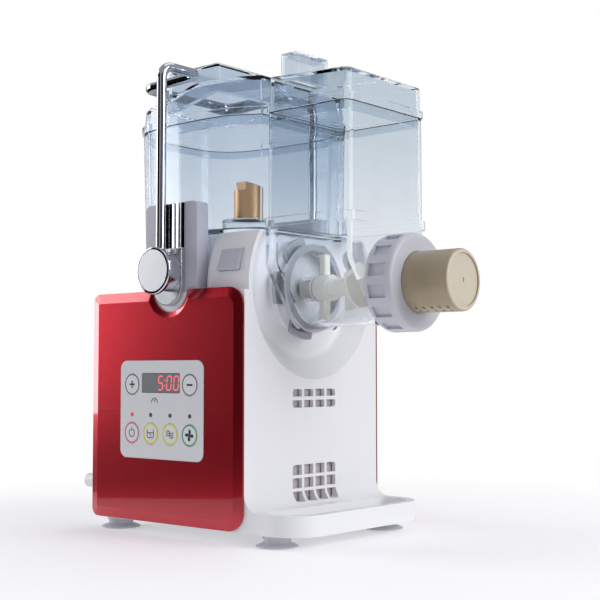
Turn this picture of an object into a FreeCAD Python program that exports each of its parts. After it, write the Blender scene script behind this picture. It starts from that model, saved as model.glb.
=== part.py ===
"""Electric pasta maker: white housing with red panels, clear mixing bowl, side chamber and locking bail.

While the pieces are made, x runs from the housing's drive face (x = 0) towards the die, y from the front of the red
panel (y = 0) to the back, and z up from the bench. The finished pieces are moved so that the origin is on the bench
under the middle of the machine. Millimetres throughout.
"""
import FreeCAD, Part
import math
import os

V = FreeCAD.Vector

# ---- body ----------------------------------------------------------------------------------------------------------
BODY_WIDTH = 148.5       # left side of the housing to its drive face
BODY_DEPTH = 147.0       # front of the front panel to the back of the rear panel
BODY_BOTTOM = 8.0        # underside of the housing above the bench
BODY_TOP = 165.0         # top of the box part of the housing
WALL = 3.0               # housing wall
CORNER = 9.0             # radius of the housing's left corners
PANEL_THICK = 3.0        # red panels
PANEL_TOP = 167.0
PANEL_CORNER = 13.0      # right-hand corners of the red panels
PANEL_CORNER_LEFT = 6.0
PANEL_BEVEL = 7.0        # width of the bevel on the panels' face
PANEL_BEVEL_DEPTH = 1.6
SKIN_GAP = 0.3           # between pieces that lie close without touching

# ---- tray in front of the drive face -------------------------------------------------------------------------------
TRAY_REACH = 45.5
TRAY_RIM = 21.5          # height of the rim above the bench
TRAY_CORNER = 24.0
TRAY_DISH_DEPTH = 6.0
TRAY_RIM_WIDTH = 6.0
TRAY_COVE = 11.0         # concave radius between drive face and tray

# ---- drive axis and the round recess -------------------------------------------------------------------------------
AXIS_Z = 169.0           # drive axis above the bench
RECESS_R = 63.0
RECESS_FLOOR_R = 49.0
RECESS_DEPTH = 13.0
HUMP_TOP = 205.0         # flat top of the gear hump
HUMP_R = 66.5            # hump beside the pillars
HUMP_R_LEFT = 56.0       # hump between the pillars
HUMP_STEP = 43.5         # where the hump grows narrower
HUMP_LENGTH = 100.0
HUMP_ROUND = 9.0         # rounding of its left shoulder
RECESS_ROUND = 9.0       # rounding between the recess floor and its slope

# ---- vents in the drive face ---------------------------------------------------------------------------------------
VENT_COLUMNS = 4
VENT_CELL = 9.6
VENT_BAR = 2.4
VENT_CORNER = 2.4        # outer corners of a whole group of cells
UPPER_VENT_Z = 87.0
UPPER_VENT_ROWS = 2
UPPER_VENT_ROW = 5.0     # height of one cell
UPPER_VENT_BAR = 2.5
LOWER_VENT_Z = 23.9
LOWER_VENT_ROWS = 3
LOWER_VENT_ROW = 6.8
LOWER_VENT_BAR = 2.1

# ---- pillars, knobs and bail ---------------------------------------------------------------------------------------
PILLAR_LEFT = -94.7
PILLAR_RIGHT = -44.0
PILLAR_FRONT = 3.0
PILLAR_THICK = 10.5
PILLAR_TOP = 227.0
STRIP_WIDTH = 27.0       # chrome strip on the pillar
STRIP_THICK = 1.2
PIVOT_X = -69.0
PIVOT_Z = 179.5
KNOB_R = 16.2
KNOB_RIM = 4.0
KNOB_BARREL_R = 13.5
KNOB_FRONT = -14.5
KNOB_BASE_DROP = 10.0    # how far the round end of the chrome base is centred below the pin
KNOB_BASE_TOP = 195.5
KNOB_BASE_THICK = 4.0
NOTCH_R = 17.5           # notch in the red panels round the base
NOTCH_BEVEL = 4.0
PIN_R = 4.0
PIN_FIT = 0.05           # running clearance on a radius
ROD_R = 3.4
ROD_BEND = 9.0
ROD_INSET = 7.0          # rod centre outside the front panel's face
BAIL_TOP = 321.5
BAIL_RUN = 36.0          # length of the short runs over the cover
BAIL_GRIP = 57.0         # how far the grip stands off to the left

# ---- side chamber and its cover ------------------------------------------------------------------------------------
CLEAR_WALL = 2.5         # wall of the clear pieces
CHAMBER_LEFT = -138.0
CHAMBER_RIGHT = -9.0
CHAMBER_BOW = 14.0       # how far its front and back stand out from the bowl's
CHAMBER_FLOOR = 4.0
CHAMBER_DRAFT = 2.2      # how much smaller its foot is than its rim, on each side
RIM_Z = 285.5            # top edge of bowl and chamber
RIM_BAND = 5.0           # height of the band round the bottom of the lids
RIM_PROUD = 1.2
LID_TOP = 310.0
LID_DRAFT = 3.0
LID_FALL = 3.5           # how far the lid's top drops towards the die
LID_ROUND = 1.4
COVER_TOP = 312.5
COVER_SLOPE = ((-62.0, 312.5), (-95.0, 304.5), (-112.0, 303.0), (-138.0, 299.5))
LIP_DEPTH = 6.0
LIP_GAP = 0.4
LIP_WALL = 2.0
BOX_LEFT = -112.0        # raised box on the chamber's cover
BOX_RIGHT = -59.5
BOX_INSET = 8.0          # its distance behind the bowl's front wall
BOX_TOP = 331.5
BOX_ROUND = 3.0

# ---- lock ring on the recess floor ---------------------------------------------------------------------------------
LOCK_RING_R = 33.0
LOCK_RING_THICK = 5.0
WEDGE_OUTER_R = 35.4
WEDGE_INNER_R = 26.4
WEDGE_HALF = 11.0
WEDGE_RISE = 3.0
WEDGE_ANGLES = (-88.0, -14.0, 60.0, 134.0, 208.0)

# ---- bowl ----------------------------------------------------------------------------------------------------------
BOWL_LEFT = -5.0
BOWL_RIGHT = 63.5
BOWL_FRONT = 30.0
BOWL_CORNER = 7.0
BOWL_CORNER_LEFT = 3.0
TROUGH_R = 27.0
TROUGH_SHOULDER = 183.0  # where the bowl's sides turn inwards
TROUGH_SHOULDER_ROUND = 14.0
BEAD_Z = 208.0
BEAD_HEIGHT = 6.0
BEAD_PROUD = 2.2
FLANGE_THICK = 3.0
FLANGE_PROUD = 7.0
HUB_R = 26.0
HUB_DEPTH = 9.0
TAB_LEFT = -0.5          # grip on the bowl's lid
TAB_WIDTH = 15.0
TAB_TOP = 326.0
TAB_DEPTH = 34.0
POUR_SLOT = 34.0
POUR_SLOT_WIDTH = 6.0

# ---- barrel, nut and die -------------------------------------------------------------------------------------------
BARREL_R = 21.0
BARREL_BORE_R = 17.0
BARREL_END = 73.5
THREAD_R = 25.0
NUT_R = 32.0
NUT_START = 66.0
NUT_END = 88.0
NUT_RIBS = 14
DIE_R = 19.9
DIE_END = 122.0
DIE_WALL = 2.6
DIE_FLANGE_R = 23.5
DIE_FLANGE = 2.4
SEAL_THICK = 1.4
NUT_CLEARANCE = 0.3
DIE_HOLE = 2.6
DIE_HOLE_ROWS = 5
DIE_HOLE_COLUMNS = 5

# ---- auger and paddle ----------------------------------------------------------------------------------------------
AUGER_CORE_R = 6.0
AUGER_R = 16.2
AUGER_PITCH = 16.0
AUGER_TURNS = 2.6
AUGER_BLADE = 2.6
SPINDLE_R = 9.0
HEX_FLATS = 10.0
HEX_GAP = 0.3
HEX_REACH = 11.0
PADDLE_BAR = 6.0
PADDLE_REACH = 22.0

# ---- gears and motor -----------------------------------------------------------------------------------------------
MODULE = 1.25
MOTOR_PINION_TEETH = 12
IDLER_TEETH = 50
IDLER_PINION_TEETH = 14
OUTPUT_TEETH = 48
GEAR_WIDTH = 8.0
GEAR_BACKLASH = 0.22
FIRST_STAGE_X = -31.0    # left face of the first gear stage
SECOND_STAGE_X = -41.0
FRAME_X = -46.0          # left face of the gearbox frame's plate
FRAME_THICK = 3.0
FRAME_HALF = 46.0
SHAFT_R = 5.0
IDLER_PIN_R = 3.5
MOTOR_R = 30.0
MOTOR_LENGTH = 58.0
MOTOR_WALL = 2.0
MOTOR_SHAFT_R = 4.0
ROTOR_R = 17.4
ROTOR_GAP = 0.6
FAN_R = 25.0
FAN_BLADES = 7
FAN_WIDTH = 9.0
BEARING_R = 11.0
BEARING_WIDTH = 7.0

# ---- controls ------------------------------------------------------------------------------------------------------
FASCIA_LEFT = -116.3
FASCIA_WIDTH = 82.4
FASCIA_BOTTOM = 51.7
FASCIA_HEIGHT = 67.3
FASCIA_CORNER = 6.0
FASCIA_PROUD = 0.3
KEY_R = 7.3
KEY_GAP = 0.25
KEY_THICK = 2.4
KEY_STEM_R = 2.5
KEY_TRAVEL = 0.8
KEY_COLUMNS = (-104.2, -85.1, -65.8, -46.8)
KEY_ROW = 68.9
SET_ROW = 102.5
LED_ROW = 81.6
LED_R = 1.5
DISPLAY_LEFT = -94.2
DISPLAY_WIDTH = 37.6
DISPLAY_BOTTOM = 97.0
DISPLAY_HEIGHT = 13.2
BOARD_Y = 10.0
BOARD_THICK = 1.6
SWITCH_HEIGHT = 1.0

# ---- feet, gland, small pieces -------------------------------------------------------------------------------------
FOOT_R = 13.8
FOOT_COLLAR_R = 9.8
FOOT_NECK_R = 8.8
FOOT_LIP = 0.9
FOOT_CUP = 2.9           # height where the cup meets the neck
FOOT_HOLLOW_R = 9.5
FOOT_HOLLOW = 1.2
FOOT_STUD_R = 3.0
FOOT_LEFT = -134.0
FOOT_RIGHT = 16.5
FOOT_INSET = 16.5
PLATE_THICK = 2.5
GLAND_R = 5.6
GLAND_BORE_R = 3.6
GLAND_REACH = 22.0
GLAND_Y = 17.0
GLAND_Z = 31.0
RELEASE_LEFT = -27.5
RELEASE_WIDTH = 19.0
RELEASE_BOTTOM = 178.0
RELEASE_HEIGHT = 15.0
RELEASE_PROUD = 3.0
RELEASE_TRAVEL = 2.0
RELEASE_BACK = 16.0      # back of the button behind the front of the machine
POST_X = -38.9           # bronze post in the side chamber
POST_Y = 48.0
POST_R = 10.0
POST_HEIGHT = 29.0
POST_DISC_R = 18.0
POST_DISC = 7.5

MID_Y = BODY_DEPTH / 2.0
BOWL_BACK = BODY_DEPTH - BOWL_FRONT
TROUGH_X = SKIN_GAP
DIE_START = BARREL_END + SEAL_THICK
IDLER_Z = AXIS_Z - MODULE * (OUTPUT_TEETH + IDLER_PINION_TEETH) / 2.0
MOTOR_Z = IDLER_Z - MODULE * (IDLER_TEETH + MOTOR_PINION_TEETH) / 2.0
BASE_TOP = BODY_BOTTOM + PLATE_THICK
FLOOR_Z = HUMP_TOP + CHAMBER_FLOOR


# ---- shape helpers -------------------------------------------------------------------------------------------------
def box(x0, x1, y0, y1, z0, z1):
    return Part.makeBox(x1 - x0, y1 - y0, z1 - z0, V(x0, y0, z0))


def rod_x(radius, x0, x1, y=None, z=None):
    y = MID_Y if y is None else y
    z = AXIS_Z if z is None else z
    return Part.makeCylinder(radius, x1 - x0, V(x0, y, z), V(1, 0, 0))


def rod_y(radius, y0, y1, x, z):
    return Part.makeCylinder(radius, y1 - y0, V(x, y0, z), V(0, 1, 0))


def rod_z(radius, z0, z1, x, y):
    return Part.makeCylinder(radius, z1 - z0, V(x, y, z0), V(0, 0, 1))


def join(first, *others):
    return first.fuse(list(others)).removeSplitter()


def mirror_y(shape):
    """The same piece on the other side of the machine's middle plane."""
    return shape.mirror(V(0, MID_Y, 0), V(0, 1, 0))


def edges_along(shape, direction, accept=lambda point: True):
    """Straight edges parallel to a direction whose middle point is accepted."""
    found = []
    for edge in shape.Edges:
        if not isinstance(edge.Curve, (Part.Line, Part.LineSegment)):
            continue
        run = edge.Vertexes[-1].Point - edge.Vertexes[0].Point
        if run.Length > 1e-6 and run.normalize().cross(direction).Length < 1e-6 and accept(edge.CenterOfMass):
            found.append(edge)
    return found


def block(x0, x1, y0, y1, z0, z1, radius, along=V(0, 0, 1)):
    """A box whose edges along one direction are rounded."""
    shape = box(x0, x1, y0, y1, z0, z1)
    return shape.makeFillet(radius, edges_along(shape, along))


def prism(points, direction):
    """A closed polygon pushed along a direction."""
    return Part.Face(Part.makePolygon(points + [points[0]])).extrude(direction)


def ring_x(outer, inner, x0, x1, y=None, z=None):
    return rod_x(outer, x0, x1, y, z).cut(rod_x(inner, x0, x1, y, z))


# ---- housing -------------------------------------------------------------------------------------------------------
def tray_block(inset, bottom, top):
    """The tray's outline from inside the body to its rounded end, pulled in by an inset."""
    reach = TRAY_REACH - inset
    shape = box(-TRAY_CORNER * 2, reach, PANEL_THICK + inset, BODY_DEPTH - PANEL_THICK - inset, bottom, top)
    ends = edges_along(shape, V(0, 0, 1), lambda p: p.x > 0)
    return shape.makeFillet(TRAY_CORNER - inset, ends)


def cove():
    """Concave strip between the drive face and the tray's rim."""
    side = TRAY_COVE
    strip = box(-WALL, side, PANEL_THICK, BODY_DEPTH - PANEL_THICK, TRAY_RIM - 1, TRAY_RIM + side)
    cutter = rod_y(side, 0, BODY_DEPTH, side, TRAY_RIM + side)
    return strip.cut(cutter)


def vent_cells(bottom, rows, high, bar):
    """Square cells in rows; the group's outer corners are rounded."""
    width = VENT_COLUMNS * VENT_CELL + (VENT_COLUMNS - 1) * VENT_BAR
    left = MID_Y - width / 2.0
    top = bottom + rows * high + (rows - 1) * bar
    group = block(-WALL * 2, TRAY_COVE, left, left + width, bottom, top, VENT_CORNER, V(1, 0, 0))
    cells = []
    for row in range(rows):
        for column in range(VENT_COLUMNS):
            y = left + column * (VENT_CELL + VENT_BAR)
            z = bottom + row * (high + bar)
            cells.append(box(-WALL * 2, TRAY_COVE, y, y + VENT_CELL, z, z + high).common(group))
    return cells


def hump(inset):
    """Rounded top over the gears: wide beside the drive face, narrow between the pillars."""
    left = -HUMP_STEP + inset
    wide = rod_x(HUMP_R - inset, left, -inset)
    wide = wide.common(box(-HUMP_LENGTH, 0, 0, BODY_DEPTH, BODY_TOP - WALL * 2, HUMP_TOP - inset))
    shoulder = [e for e in wide.Edges if abs(e.CenterOfMass.x - left) < 1e-6 and e.CenterOfMass.z > BODY_TOP]
    wide = wide.makeFillet(HUMP_ROUND - inset, shoulder)
    narrow = rod_x(HUMP_R_LEFT - inset, -HUMP_LENGTH + inset, -inset)
    narrow = narrow.common(box(-HUMP_LENGTH, 0, 0, BODY_DEPTH, BODY_TOP - WALL * 2, HUMP_TOP - inset))
    return wide.fuse(narrow)


def housing():
    front = PANEL_THICK
    back = BODY_DEPTH - PANEL_THICK
    body = box(-BODY_WIDTH, 0, front, back, BODY_BOTTOM, BODY_TOP)
    body = body.makeFillet(CORNER, edges_along(body, V(0, 0, 1), lambda p: p.x < -BODY_WIDTH / 2))
    outer = join(body, hump(0), tray_block(0, BODY_BOTTOM, TRAY_RIM), cove())

    inside = box(-BODY_WIDTH + WALL, -WALL, front + WALL, back - WALL, 0, BODY_TOP - WALL)
    under_tray = tray_block(WALL, 0, TRAY_RIM - TRAY_DISH_DEPTH - WALL)
    under_tray = under_tray.common(box(-WALL * 2, TRAY_REACH, 0, BODY_DEPTH, 0, TRAY_RIM))
    shell = outer.cut(inside.fuse([hump(WALL), under_tray]))

    # the recess is a dish with a wall of its own behind it
    backing = rod_x(RECESS_FLOOR_R + WALL * 2, -RECESS_DEPTH - WALL, -RECESS_DEPTH + 1)
    floor = V(-RECESS_DEPTH, MID_Y, AXIS_Z)
    slope = Part.makeCone(RECESS_FLOOR_R + WALL, RECESS_R + WALL, RECESS_DEPTH, floor, V(1, 0, 0))
    wall_behind = backing.fuse(slope).common(box(-HUMP_STEP, 0, front, back, BODY_BOTTOM, HUMP_TOP))
    boss = rod_x(BEARING_R + WALL, -RECESS_DEPTH - BEARING_WIDTH, -RECESS_DEPTH)
    shell = shell.fuse([wall_behind, boss])
    dish = Part.makeCone(RECESS_FLOOR_R, RECESS_R, RECESS_DEPTH + 0.01, floor, V(1, 0, 0))
    dish = dish.makeFillet(RECESS_ROUND, [e for e in dish.Edges if abs(e.CenterOfMass.x + RECESS_DEPTH) < 1e-6])
    bearing_seat = rod_x(BEARING_R, -RECESS_DEPTH - BEARING_WIDTH - 1, -RECESS_DEPTH - 1)
    shaft_hole = rod_x(SHAFT_R + 1.5, -RECESS_DEPTH - BEARING_WIDTH, 1)

    dish_top = TRAY_RIM - TRAY_DISH_DEPTH
    dished = tray_block(TRAY_RIM_WIDTH, dish_top, TRAY_RIM + 1)
    dished = dished.common(box(TRAY_COVE, TRAY_REACH, 0, BODY_DEPTH, dish_top, TRAY_RIM + 1))
    corners = edges_along(dished, V(0, 0, 1), lambda p: p.x < TRAY_COVE + 1)
    dished = dished.makeFillet(TRAY_DISH_DEPTH, corners)

    window = box(FASCIA_LEFT + WALL, FASCIA_LEFT + FASCIA_WIDTH - WALL, 0, PANEL_THICK + WALL + 1,
                 FASCIA_BOTTOM + WALL, FASCIA_BOTTOM + FASCIA_HEIGHT - WALL)
    gland_hole = rod_x(GLAND_R - 1.0, -BODY_WIDTH - 1, -BODY_WIDTH + WALL + 1, GLAND_Y, GLAND_Z)
    release_hole = box(RELEASE_LEFT, RELEASE_LEFT + RELEASE_WIDTH, 0, RELEASE_BACK + RELEASE_TRAVEL + 1,
                       RELEASE_BOTTOM, RELEASE_BOTTOM + RELEASE_HEIGHT)
    cuts = [dish, bearing_seat, shaft_hole, dished, window, gland_hole, release_hole]
    cuts += vent_cells(UPPER_VENT_Z, UPPER_VENT_ROWS, UPPER_VENT_ROW, UPPER_VENT_BAR)
    cuts += vent_cells(LOWER_VENT_Z, LOWER_VENT_ROWS, LOWER_VENT_ROW, LOWER_VENT_BAR)
    return shell.cut(cuts).removeSplitter()


def base_plate():
    """Plate that closes the housing from below."""
    gap = WALL + SKIN_GAP
    body = box(-BODY_WIDTH + gap, -WALL, PANEL_THICK + gap, BODY_DEPTH - PANEL_THICK - gap, BODY_BOTTOM, BASE_TOP)
    tongue = tray_block(gap, BODY_BOTTOM, BASE_TOP)
    plate = join(body, tongue)
    for x, y in foot_places():
        plate = plate.cut(rod_z(FOOT_STUD_R, 0, BASE_TOP + 1, x, y))
    return plate


# ---- red panels and controls ---------------------------------------------------------------------------------------
def panel_outline(y, inset):
    """Outline with large right-hand corners, small left-hand corners."""
    left = -BODY_WIDTH + inset
    right = -inset
    low = BODY_BOTTOM + 0.5 + inset
    high = PANEL_TOP - inset
    small = max(PANEL_CORNER_LEFT - inset, 1.0)
    large = max(PANEL_CORNER - inset, 2.0)
    radii = [(left, low, small, 180), (right, low, large, 270), (right, high, large, 0), (left, high, small, 90)]
    parts = []
    for x, z, r, start in radii:
        cx = x + r if x == left else x - r
        cz = z + r if z == low else z - r
        ends = [math.radians(start + step) for step in (0, 45, 90)]
        arc = [V(cx + r * math.cos(a), y, cz + r * math.sin(a)) for a in ends]
        parts.append(arc)
    edges = []
    for i, arc in enumerate(parts):
        edges.append(Part.Arc(*arc).toShape())
        edges.append(Part.LineSegment(arc[2], parts[(i + 1) % 4][0]).toShape())
    return Part.Wire(edges)


def red_panel():
    flat = Part.Face(panel_outline(PANEL_BEVEL_DEPTH, 0)).extrude(V(0, PANEL_THICK - PANEL_BEVEL_DEPTH, 0))
    face = Part.makeLoft([panel_outline(0, PANEL_BEVEL), panel_outline(PANEL_BEVEL_DEPTH, 0)], True, True)
    round_z = PIVOT_Z - KNOB_BASE_DROP
    notch = rod_y(NOTCH_R, -1, PANEL_THICK + 1, PIVOT_X, round_z)
    bevel = Part.makeCone(NOTCH_R + NOTCH_BEVEL, NOTCH_R, PANEL_BEVEL_DEPTH, V(PIVOT_X, 0, round_z), V(0, 1, 0))
    return join(flat, face).cut([notch, bevel])


def fascia_block(gap, y0, y1):
    return block(FASCIA_LEFT - gap, FASCIA_LEFT + FASCIA_WIDTH + gap, y0, y1,
                 FASCIA_BOTTOM - gap, FASCIA_BOTTOM + FASCIA_HEIGHT + gap, FASCIA_CORNER + gap, V(0, 1, 0))


def display_block(gap, y0, y1):
    return block(DISPLAY_LEFT - gap, DISPLAY_LEFT + DISPLAY_WIDTH + gap, y0, y1,
                 DISPLAY_BOTTOM - gap, DISPLAY_BOTTOM + DISPLAY_HEIGHT + gap, 1.0, V(0, 1, 0))


def front_panel():
    return red_panel().cut(fascia_block(SKIN_GAP / 2, -1, PANEL_THICK + 1))


def key_places():
    """Name and centre of each key."""
    first, second, third, last = KEY_COLUMNS
    return {"key_plus": (first, SET_ROW), "key_minus": (last, SET_ROW), "key_power": (first, KEY_ROW),
            "key_mix": (second, KEY_ROW), "key_extrude": (third, KEY_ROW), "key_fan": (last, KEY_ROW)}


def fascia():
    plate = fascia_block(0, -FASCIA_PROUD, PANEL_THICK)
    cuts = [display_block(KEY_GAP, -1, PANEL_THICK + 1)]
    for x, z in key_places().values():
        cuts.append(rod_y(KEY_R + KEY_GAP, -1, PANEL_THICK + 1, x, z))
    for x in KEY_COLUMNS:
        cuts.append(rod_y(LED_R, -1, PANEL_THICK + 1, x, LED_ROW))
    return plate.cut(cuts)


def key(x, z):
    face = -FASCIA_PROUD - 0.2
    cap = rod_y(KEY_R, face, face + KEY_THICK, x, z)
    rim = [edge for edge in cap.Edges if abs(edge.CenterOfMass.y - face) < 1e-6]
    cap = cap.makeFillet(0.4, rim)
    stem_end = BOARD_Y - SWITCH_HEIGHT - KEY_TRAVEL - 0.1
    return join(cap, rod_y(KEY_STEM_R, face + KEY_THICK, stem_end, x, z))


def led(x):
    return rod_y(LED_R, -FASCIA_PROUD - 0.1, PANEL_THICK, x, LED_ROW)


def control_board():
    low = FASCIA_BOTTOM + WALL + 1
    high = FASCIA_BOTTOM + FASCIA_HEIGHT - WALL - 1
    left = FASCIA_LEFT + WALL + 1
    right = FASCIA_LEFT + FASCIA_WIDTH - WALL - 1
    board = box(left, right, BOARD_Y, BOARD_Y + BOARD_THICK, low, high)
    posts = []
    for x in (left + 3, right - 3):
        for z in (low + 3, high - 3):
            posts.append(rod_y(2.5, PANEL_THICK, BOARD_Y, x, z))
    return join(board, *posts)


def key_switches():
    switches = []
    for x, z in key_places().values():
        switches.append(box(x - 3, x + 3, BOARD_Y - SWITCH_HEIGHT, BOARD_Y, z - 3, z + 3))
    return Part.Compound(switches)


def display_module():
    return box(DISPLAY_LEFT + 1, DISPLAY_LEFT + DISPLAY_WIDTH - 1, PANEL_THICK, BOARD_Y,
               DISPLAY_BOTTOM + 0.5, DISPLAY_BOTTOM + DISPLAY_HEIGHT - 0.5)


# ---- pillars, knobs and bail ---------------------------------------------------------------------------------------
def front_pillar():
    back = PILLAR_FRONT + PILLAR_THICK
    post = box(PILLAR_LEFT, PILLAR_RIGHT, PILLAR_FRONT, back, BODY_TOP, PILLAR_TOP)
    post = post.makeFillet(4.0, edges_along(post, V(0, 1, 0), lambda p: p.z > PILLAR_TOP - 1))
    middle = PIVOT_X
    strip = box(middle - STRIP_WIDTH / 2, middle + STRIP_WIDTH / 2, PILLAR_FRONT - 1, PILLAR_FRONT + STRIP_THICK,
                KNOB_BASE_TOP, PILLAR_TOP + 1)
    return post.cut([strip, rod_y(PIN_R, 0, back + 1, PIVOT_X, PIVOT_Z)])


def pillar_strip():
    half = STRIP_WIDTH / 2 - 0.1
    low = KNOB_BASE_TOP + 0.1
    face = PILLAR_FRONT - 0.6
    strip = box(PIVOT_X - half, PIVOT_X + half, face, PILLAR_FRONT + STRIP_THICK, low, PILLAR_TOP - 0.5)
    return strip.makeChamfer(0.5, edges_along(strip, V(0, 0, 1), lambda p: p.y < PILLAR_FRONT))


def knob_base():
    """Chrome plate with a round lower end, fixed to the pillar, and the pin that the bail turns on."""
    face = PILLAR_FRONT - KNOB_BASE_THICK
    half = STRIP_WIDTH / 2
    round_z = PIVOT_Z - KNOB_BASE_DROP
    upper = box(PIVOT_X - half, PIVOT_X + half, face, PILLAR_FRONT, round_z, KNOB_BASE_TOP)
    plate = join(upper, rod_y(half, face, PILLAR_FRONT, PIVOT_X, round_z))
    rim = [edge for edge in plate.Edges if abs(edge.CenterOfMass.y - face) < 1e-6]
    plate = plate.makeFillet(1.2, rim)
    pin = rod_y(PIN_R, KNOB_FRONT + KNOB_RIM, PILLAR_FRONT + PILLAR_THICK, PIVOT_X, PIVOT_Z)
    return join(plate, pin)


def knob():
    """Chrome knob that carries one leg of the bail and turns on the pin."""
    base_face = PILLAR_FRONT - KNOB_BASE_THICK - SKIN_GAP
    cap = rod_y(KNOB_R, KNOB_FRONT, KNOB_FRONT + KNOB_RIM, PIVOT_X, PIVOT_Z)
    cap = cap.makeFillet(1.2, cap.Edges)
    barrel = rod_y(KNOB_BARREL_R, KNOB_FRONT + KNOB_RIM - 1, base_face, PIVOT_X, PIVOT_Z)
    bore = rod_y(PIN_R + PIN_FIT, KNOB_FRONT + KNOB_RIM - SKIN_GAP, base_face + 1, PIVOT_X, PIVOT_Z)
    rod_hole = rod_z(ROD_R, PIVOT_Z + PIN_R + 2, BAIL_TOP, PIVOT_X, -ROD_INSET)
    return join(cap, barrel).cut([bore, rod_hole])


def bent_path(points, bend):
    """Straight runs joined by tangent arcs of one bend radius."""
    edges = []
    start = points[0]
    for before, corner, after in zip(points, points[1:], points[2:]):
        back_dir = (before - corner).normalize()
        on_dir = (after - corner).normalize()
        turn = math.pi - back_dir.getAngle(on_dir)
        setback = bend * math.tan(turn / 2)
        first = corner + back_dir * setback
        last = corner + on_dir * setback
        middle_dir = (back_dir + on_dir).normalize()
        middle = corner + middle_dir * (bend / math.cos(turn / 2) - bend)
        edges.append(Part.LineSegment(start, first).toShape())
        edges.append(Part.Arc(first, middle, last).toShape())
        start = last
    edges.append(Part.LineSegment(start, points[-1]).toShape())
    return Part.Wire(edges)


def bail():
    """One bent rod: two legs, a short run over the cover on each side, and a grip that stands off to the left."""
    leg = -ROD_INSET
    run = leg + BAIL_RUN
    grip = PIVOT_X - BAIL_GRIP
    foot = PIVOT_Z + PIN_R + 2
    half = [V(PIVOT_X, leg, foot), V(PIVOT_X, leg, BAIL_TOP), V(PIVOT_X, run, BAIL_TOP), V(grip, run, BAIL_TOP - 1.5)]
    other = [V(p.x, BODY_DEPTH - p.y, p.z) for p in reversed(half)]
    path = bent_path(half + other, ROD_BEND)
    section = Part.Wire(Part.Circle(half[0], V(0, 0, 1), ROD_R).toShape())
    return path.makePipeShell([section], True, False)


# ---- clear side chamber --------------------------------------------------------------------------------------------
def chamber_outline(z, grow):
    """Plan of the chamber: bowed front and back, rounded left corners, straight right end."""
    front = BOWL_FRONT - CHAMBER_BOW
    length = CHAMBER_RIGHT - CHAMBER_LEFT
    right = V(CHAMBER_RIGHT, BOWL_FRONT, z)
    shoulder = V(CHAMBER_RIGHT - 20.5, front + 3, z)
    middle = V(CHAMBER_RIGHT - 0.45 * length, front, z)
    turn = V(CHAMBER_RIGHT - 0.8 * length, front + 5, z)
    corner = V(CHAMBER_LEFT + 9, front + 15, z)
    left = V(CHAMBER_LEFT, front + 33, z)

    def other(p):
        return V(p.x, BODY_DEPTH - p.y, p.z)

    edges = [Part.LineSegment(right, shoulder).toShape(), Part.Arc(shoulder, middle, turn).toShape(),
             Part.Arc(turn, corner, left).toShape(), Part.LineSegment(left, other(left)).toShape(),
             Part.Arc(other(left), other(corner), other(turn)).toShape(),
             Part.Arc(other(turn), other(middle), other(shoulder)).toShape(),
             Part.LineSegment(other(shoulder), other(right)).toShape(),
             Part.LineSegment(other(right), right).toShape()]
    wire = Part.Wire(edges)
    return wire.makeOffset2D(grow, 2) if abs(grow) > 1e-9 else wire


def chamber_block(grow, z0, z1):
    return Part.Face(chamber_outline(z0, grow)).extrude(V(0, 0, z1 - z0))


def side_chamber():
    outer = Part.makeLoft([chamber_outline(HUMP_TOP, -CHAMBER_DRAFT), chamber_outline(RIM_Z, 0)], True, True)
    inner_floor = chamber_outline(FLOOR_Z, -CHAMBER_DRAFT - CLEAR_WALL)
    inner = Part.makeLoft([inner_floor, chamber_outline(RIM_Z, -CLEAR_WALL)], True, True)
    disc = rod_z(POST_DISC_R, FLOOR_Z - 1, FLOOR_Z + POST_DISC, POST_X, POST_Y)
    chamber = join(outer.cut(inner), disc)
    pillar = box(PILLAR_LEFT - SKIN_GAP, PILLAR_RIGHT + SKIN_GAP, 0, PILLAR_FRONT + PILLAR_THICK + SKIN_GAP,
                 0, PILLAR_TOP + SKIN_GAP)
    return chamber.cut([pillar, mirror_y(pillar)])


def falling_top(lower):
    """What is cut away above the cover's sloping left end, lowered by a wall for its inside."""
    points = [V(x, 0, z - lower) for x, z in COVER_SLOPE]
    points += [V(CHAMBER_LEFT - 20, 0, points[-1].z - 2), V(CHAMBER_LEFT - 20, 0, COVER_TOP + 20)]
    points += [V(points[0].x, 0, COVER_TOP + 20)]
    return prism(points, V(0, BODY_DEPTH, 0))


def side_cover():
    band = chamber_block(RIM_PROUD, RIM_Z, RIM_Z + RIM_BAND)
    bottom = chamber_outline(RIM_Z + RIM_BAND, -0.4)
    top = chamber_outline(COVER_TOP, -LID_DRAFT)
    crown = Part.makeLoft([bottom, top], True, True).cut(falling_top(0))
    raised = block(BOX_LEFT, BOX_RIGHT, BOWL_FRONT + BOX_INSET, BOWL_BACK - BOX_INSET,
                   COVER_SLOPE[-1][1] - 3, BOX_TOP, BOX_ROUND)
    raised = raised.makeFillet(BOX_ROUND * 0.8, [e for e in raised.Edges if abs(e.CenterOfMass.z - BOX_TOP) < 1e-6])
    inner_bottom = chamber_outline(RIM_Z, -CLEAR_WALL - 0.4)
    inner_top = chamber_outline(COVER_TOP - CLEAR_WALL, -CLEAR_WALL - LID_DRAFT)
    hollow = Part.makeLoft([inner_bottom, inner_top], True, True).cut(falling_top(CLEAR_WALL))
    inner_box = block(BOX_LEFT + CLEAR_WALL, BOX_RIGHT - CLEAR_WALL, BOWL_FRONT + BOX_INSET + CLEAR_WALL,
                      BOWL_BACK - BOX_INSET - CLEAR_WALL, RIM_Z + 1, BOX_TOP - CLEAR_WALL, BOX_ROUND * 0.5)
    lip = chamber_block(-CLEAR_WALL - LIP_GAP, RIM_Z - LIP_DEPTH, RIM_Z + 1)
    lip = lip.cut(chamber_block(-CLEAR_WALL - LIP_GAP - LIP_WALL, RIM_Z - LIP_DEPTH - 1, RIM_Z + 2))
    return join(join(band, crown, raised).cut([hollow, inner_box]), lip)


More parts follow.
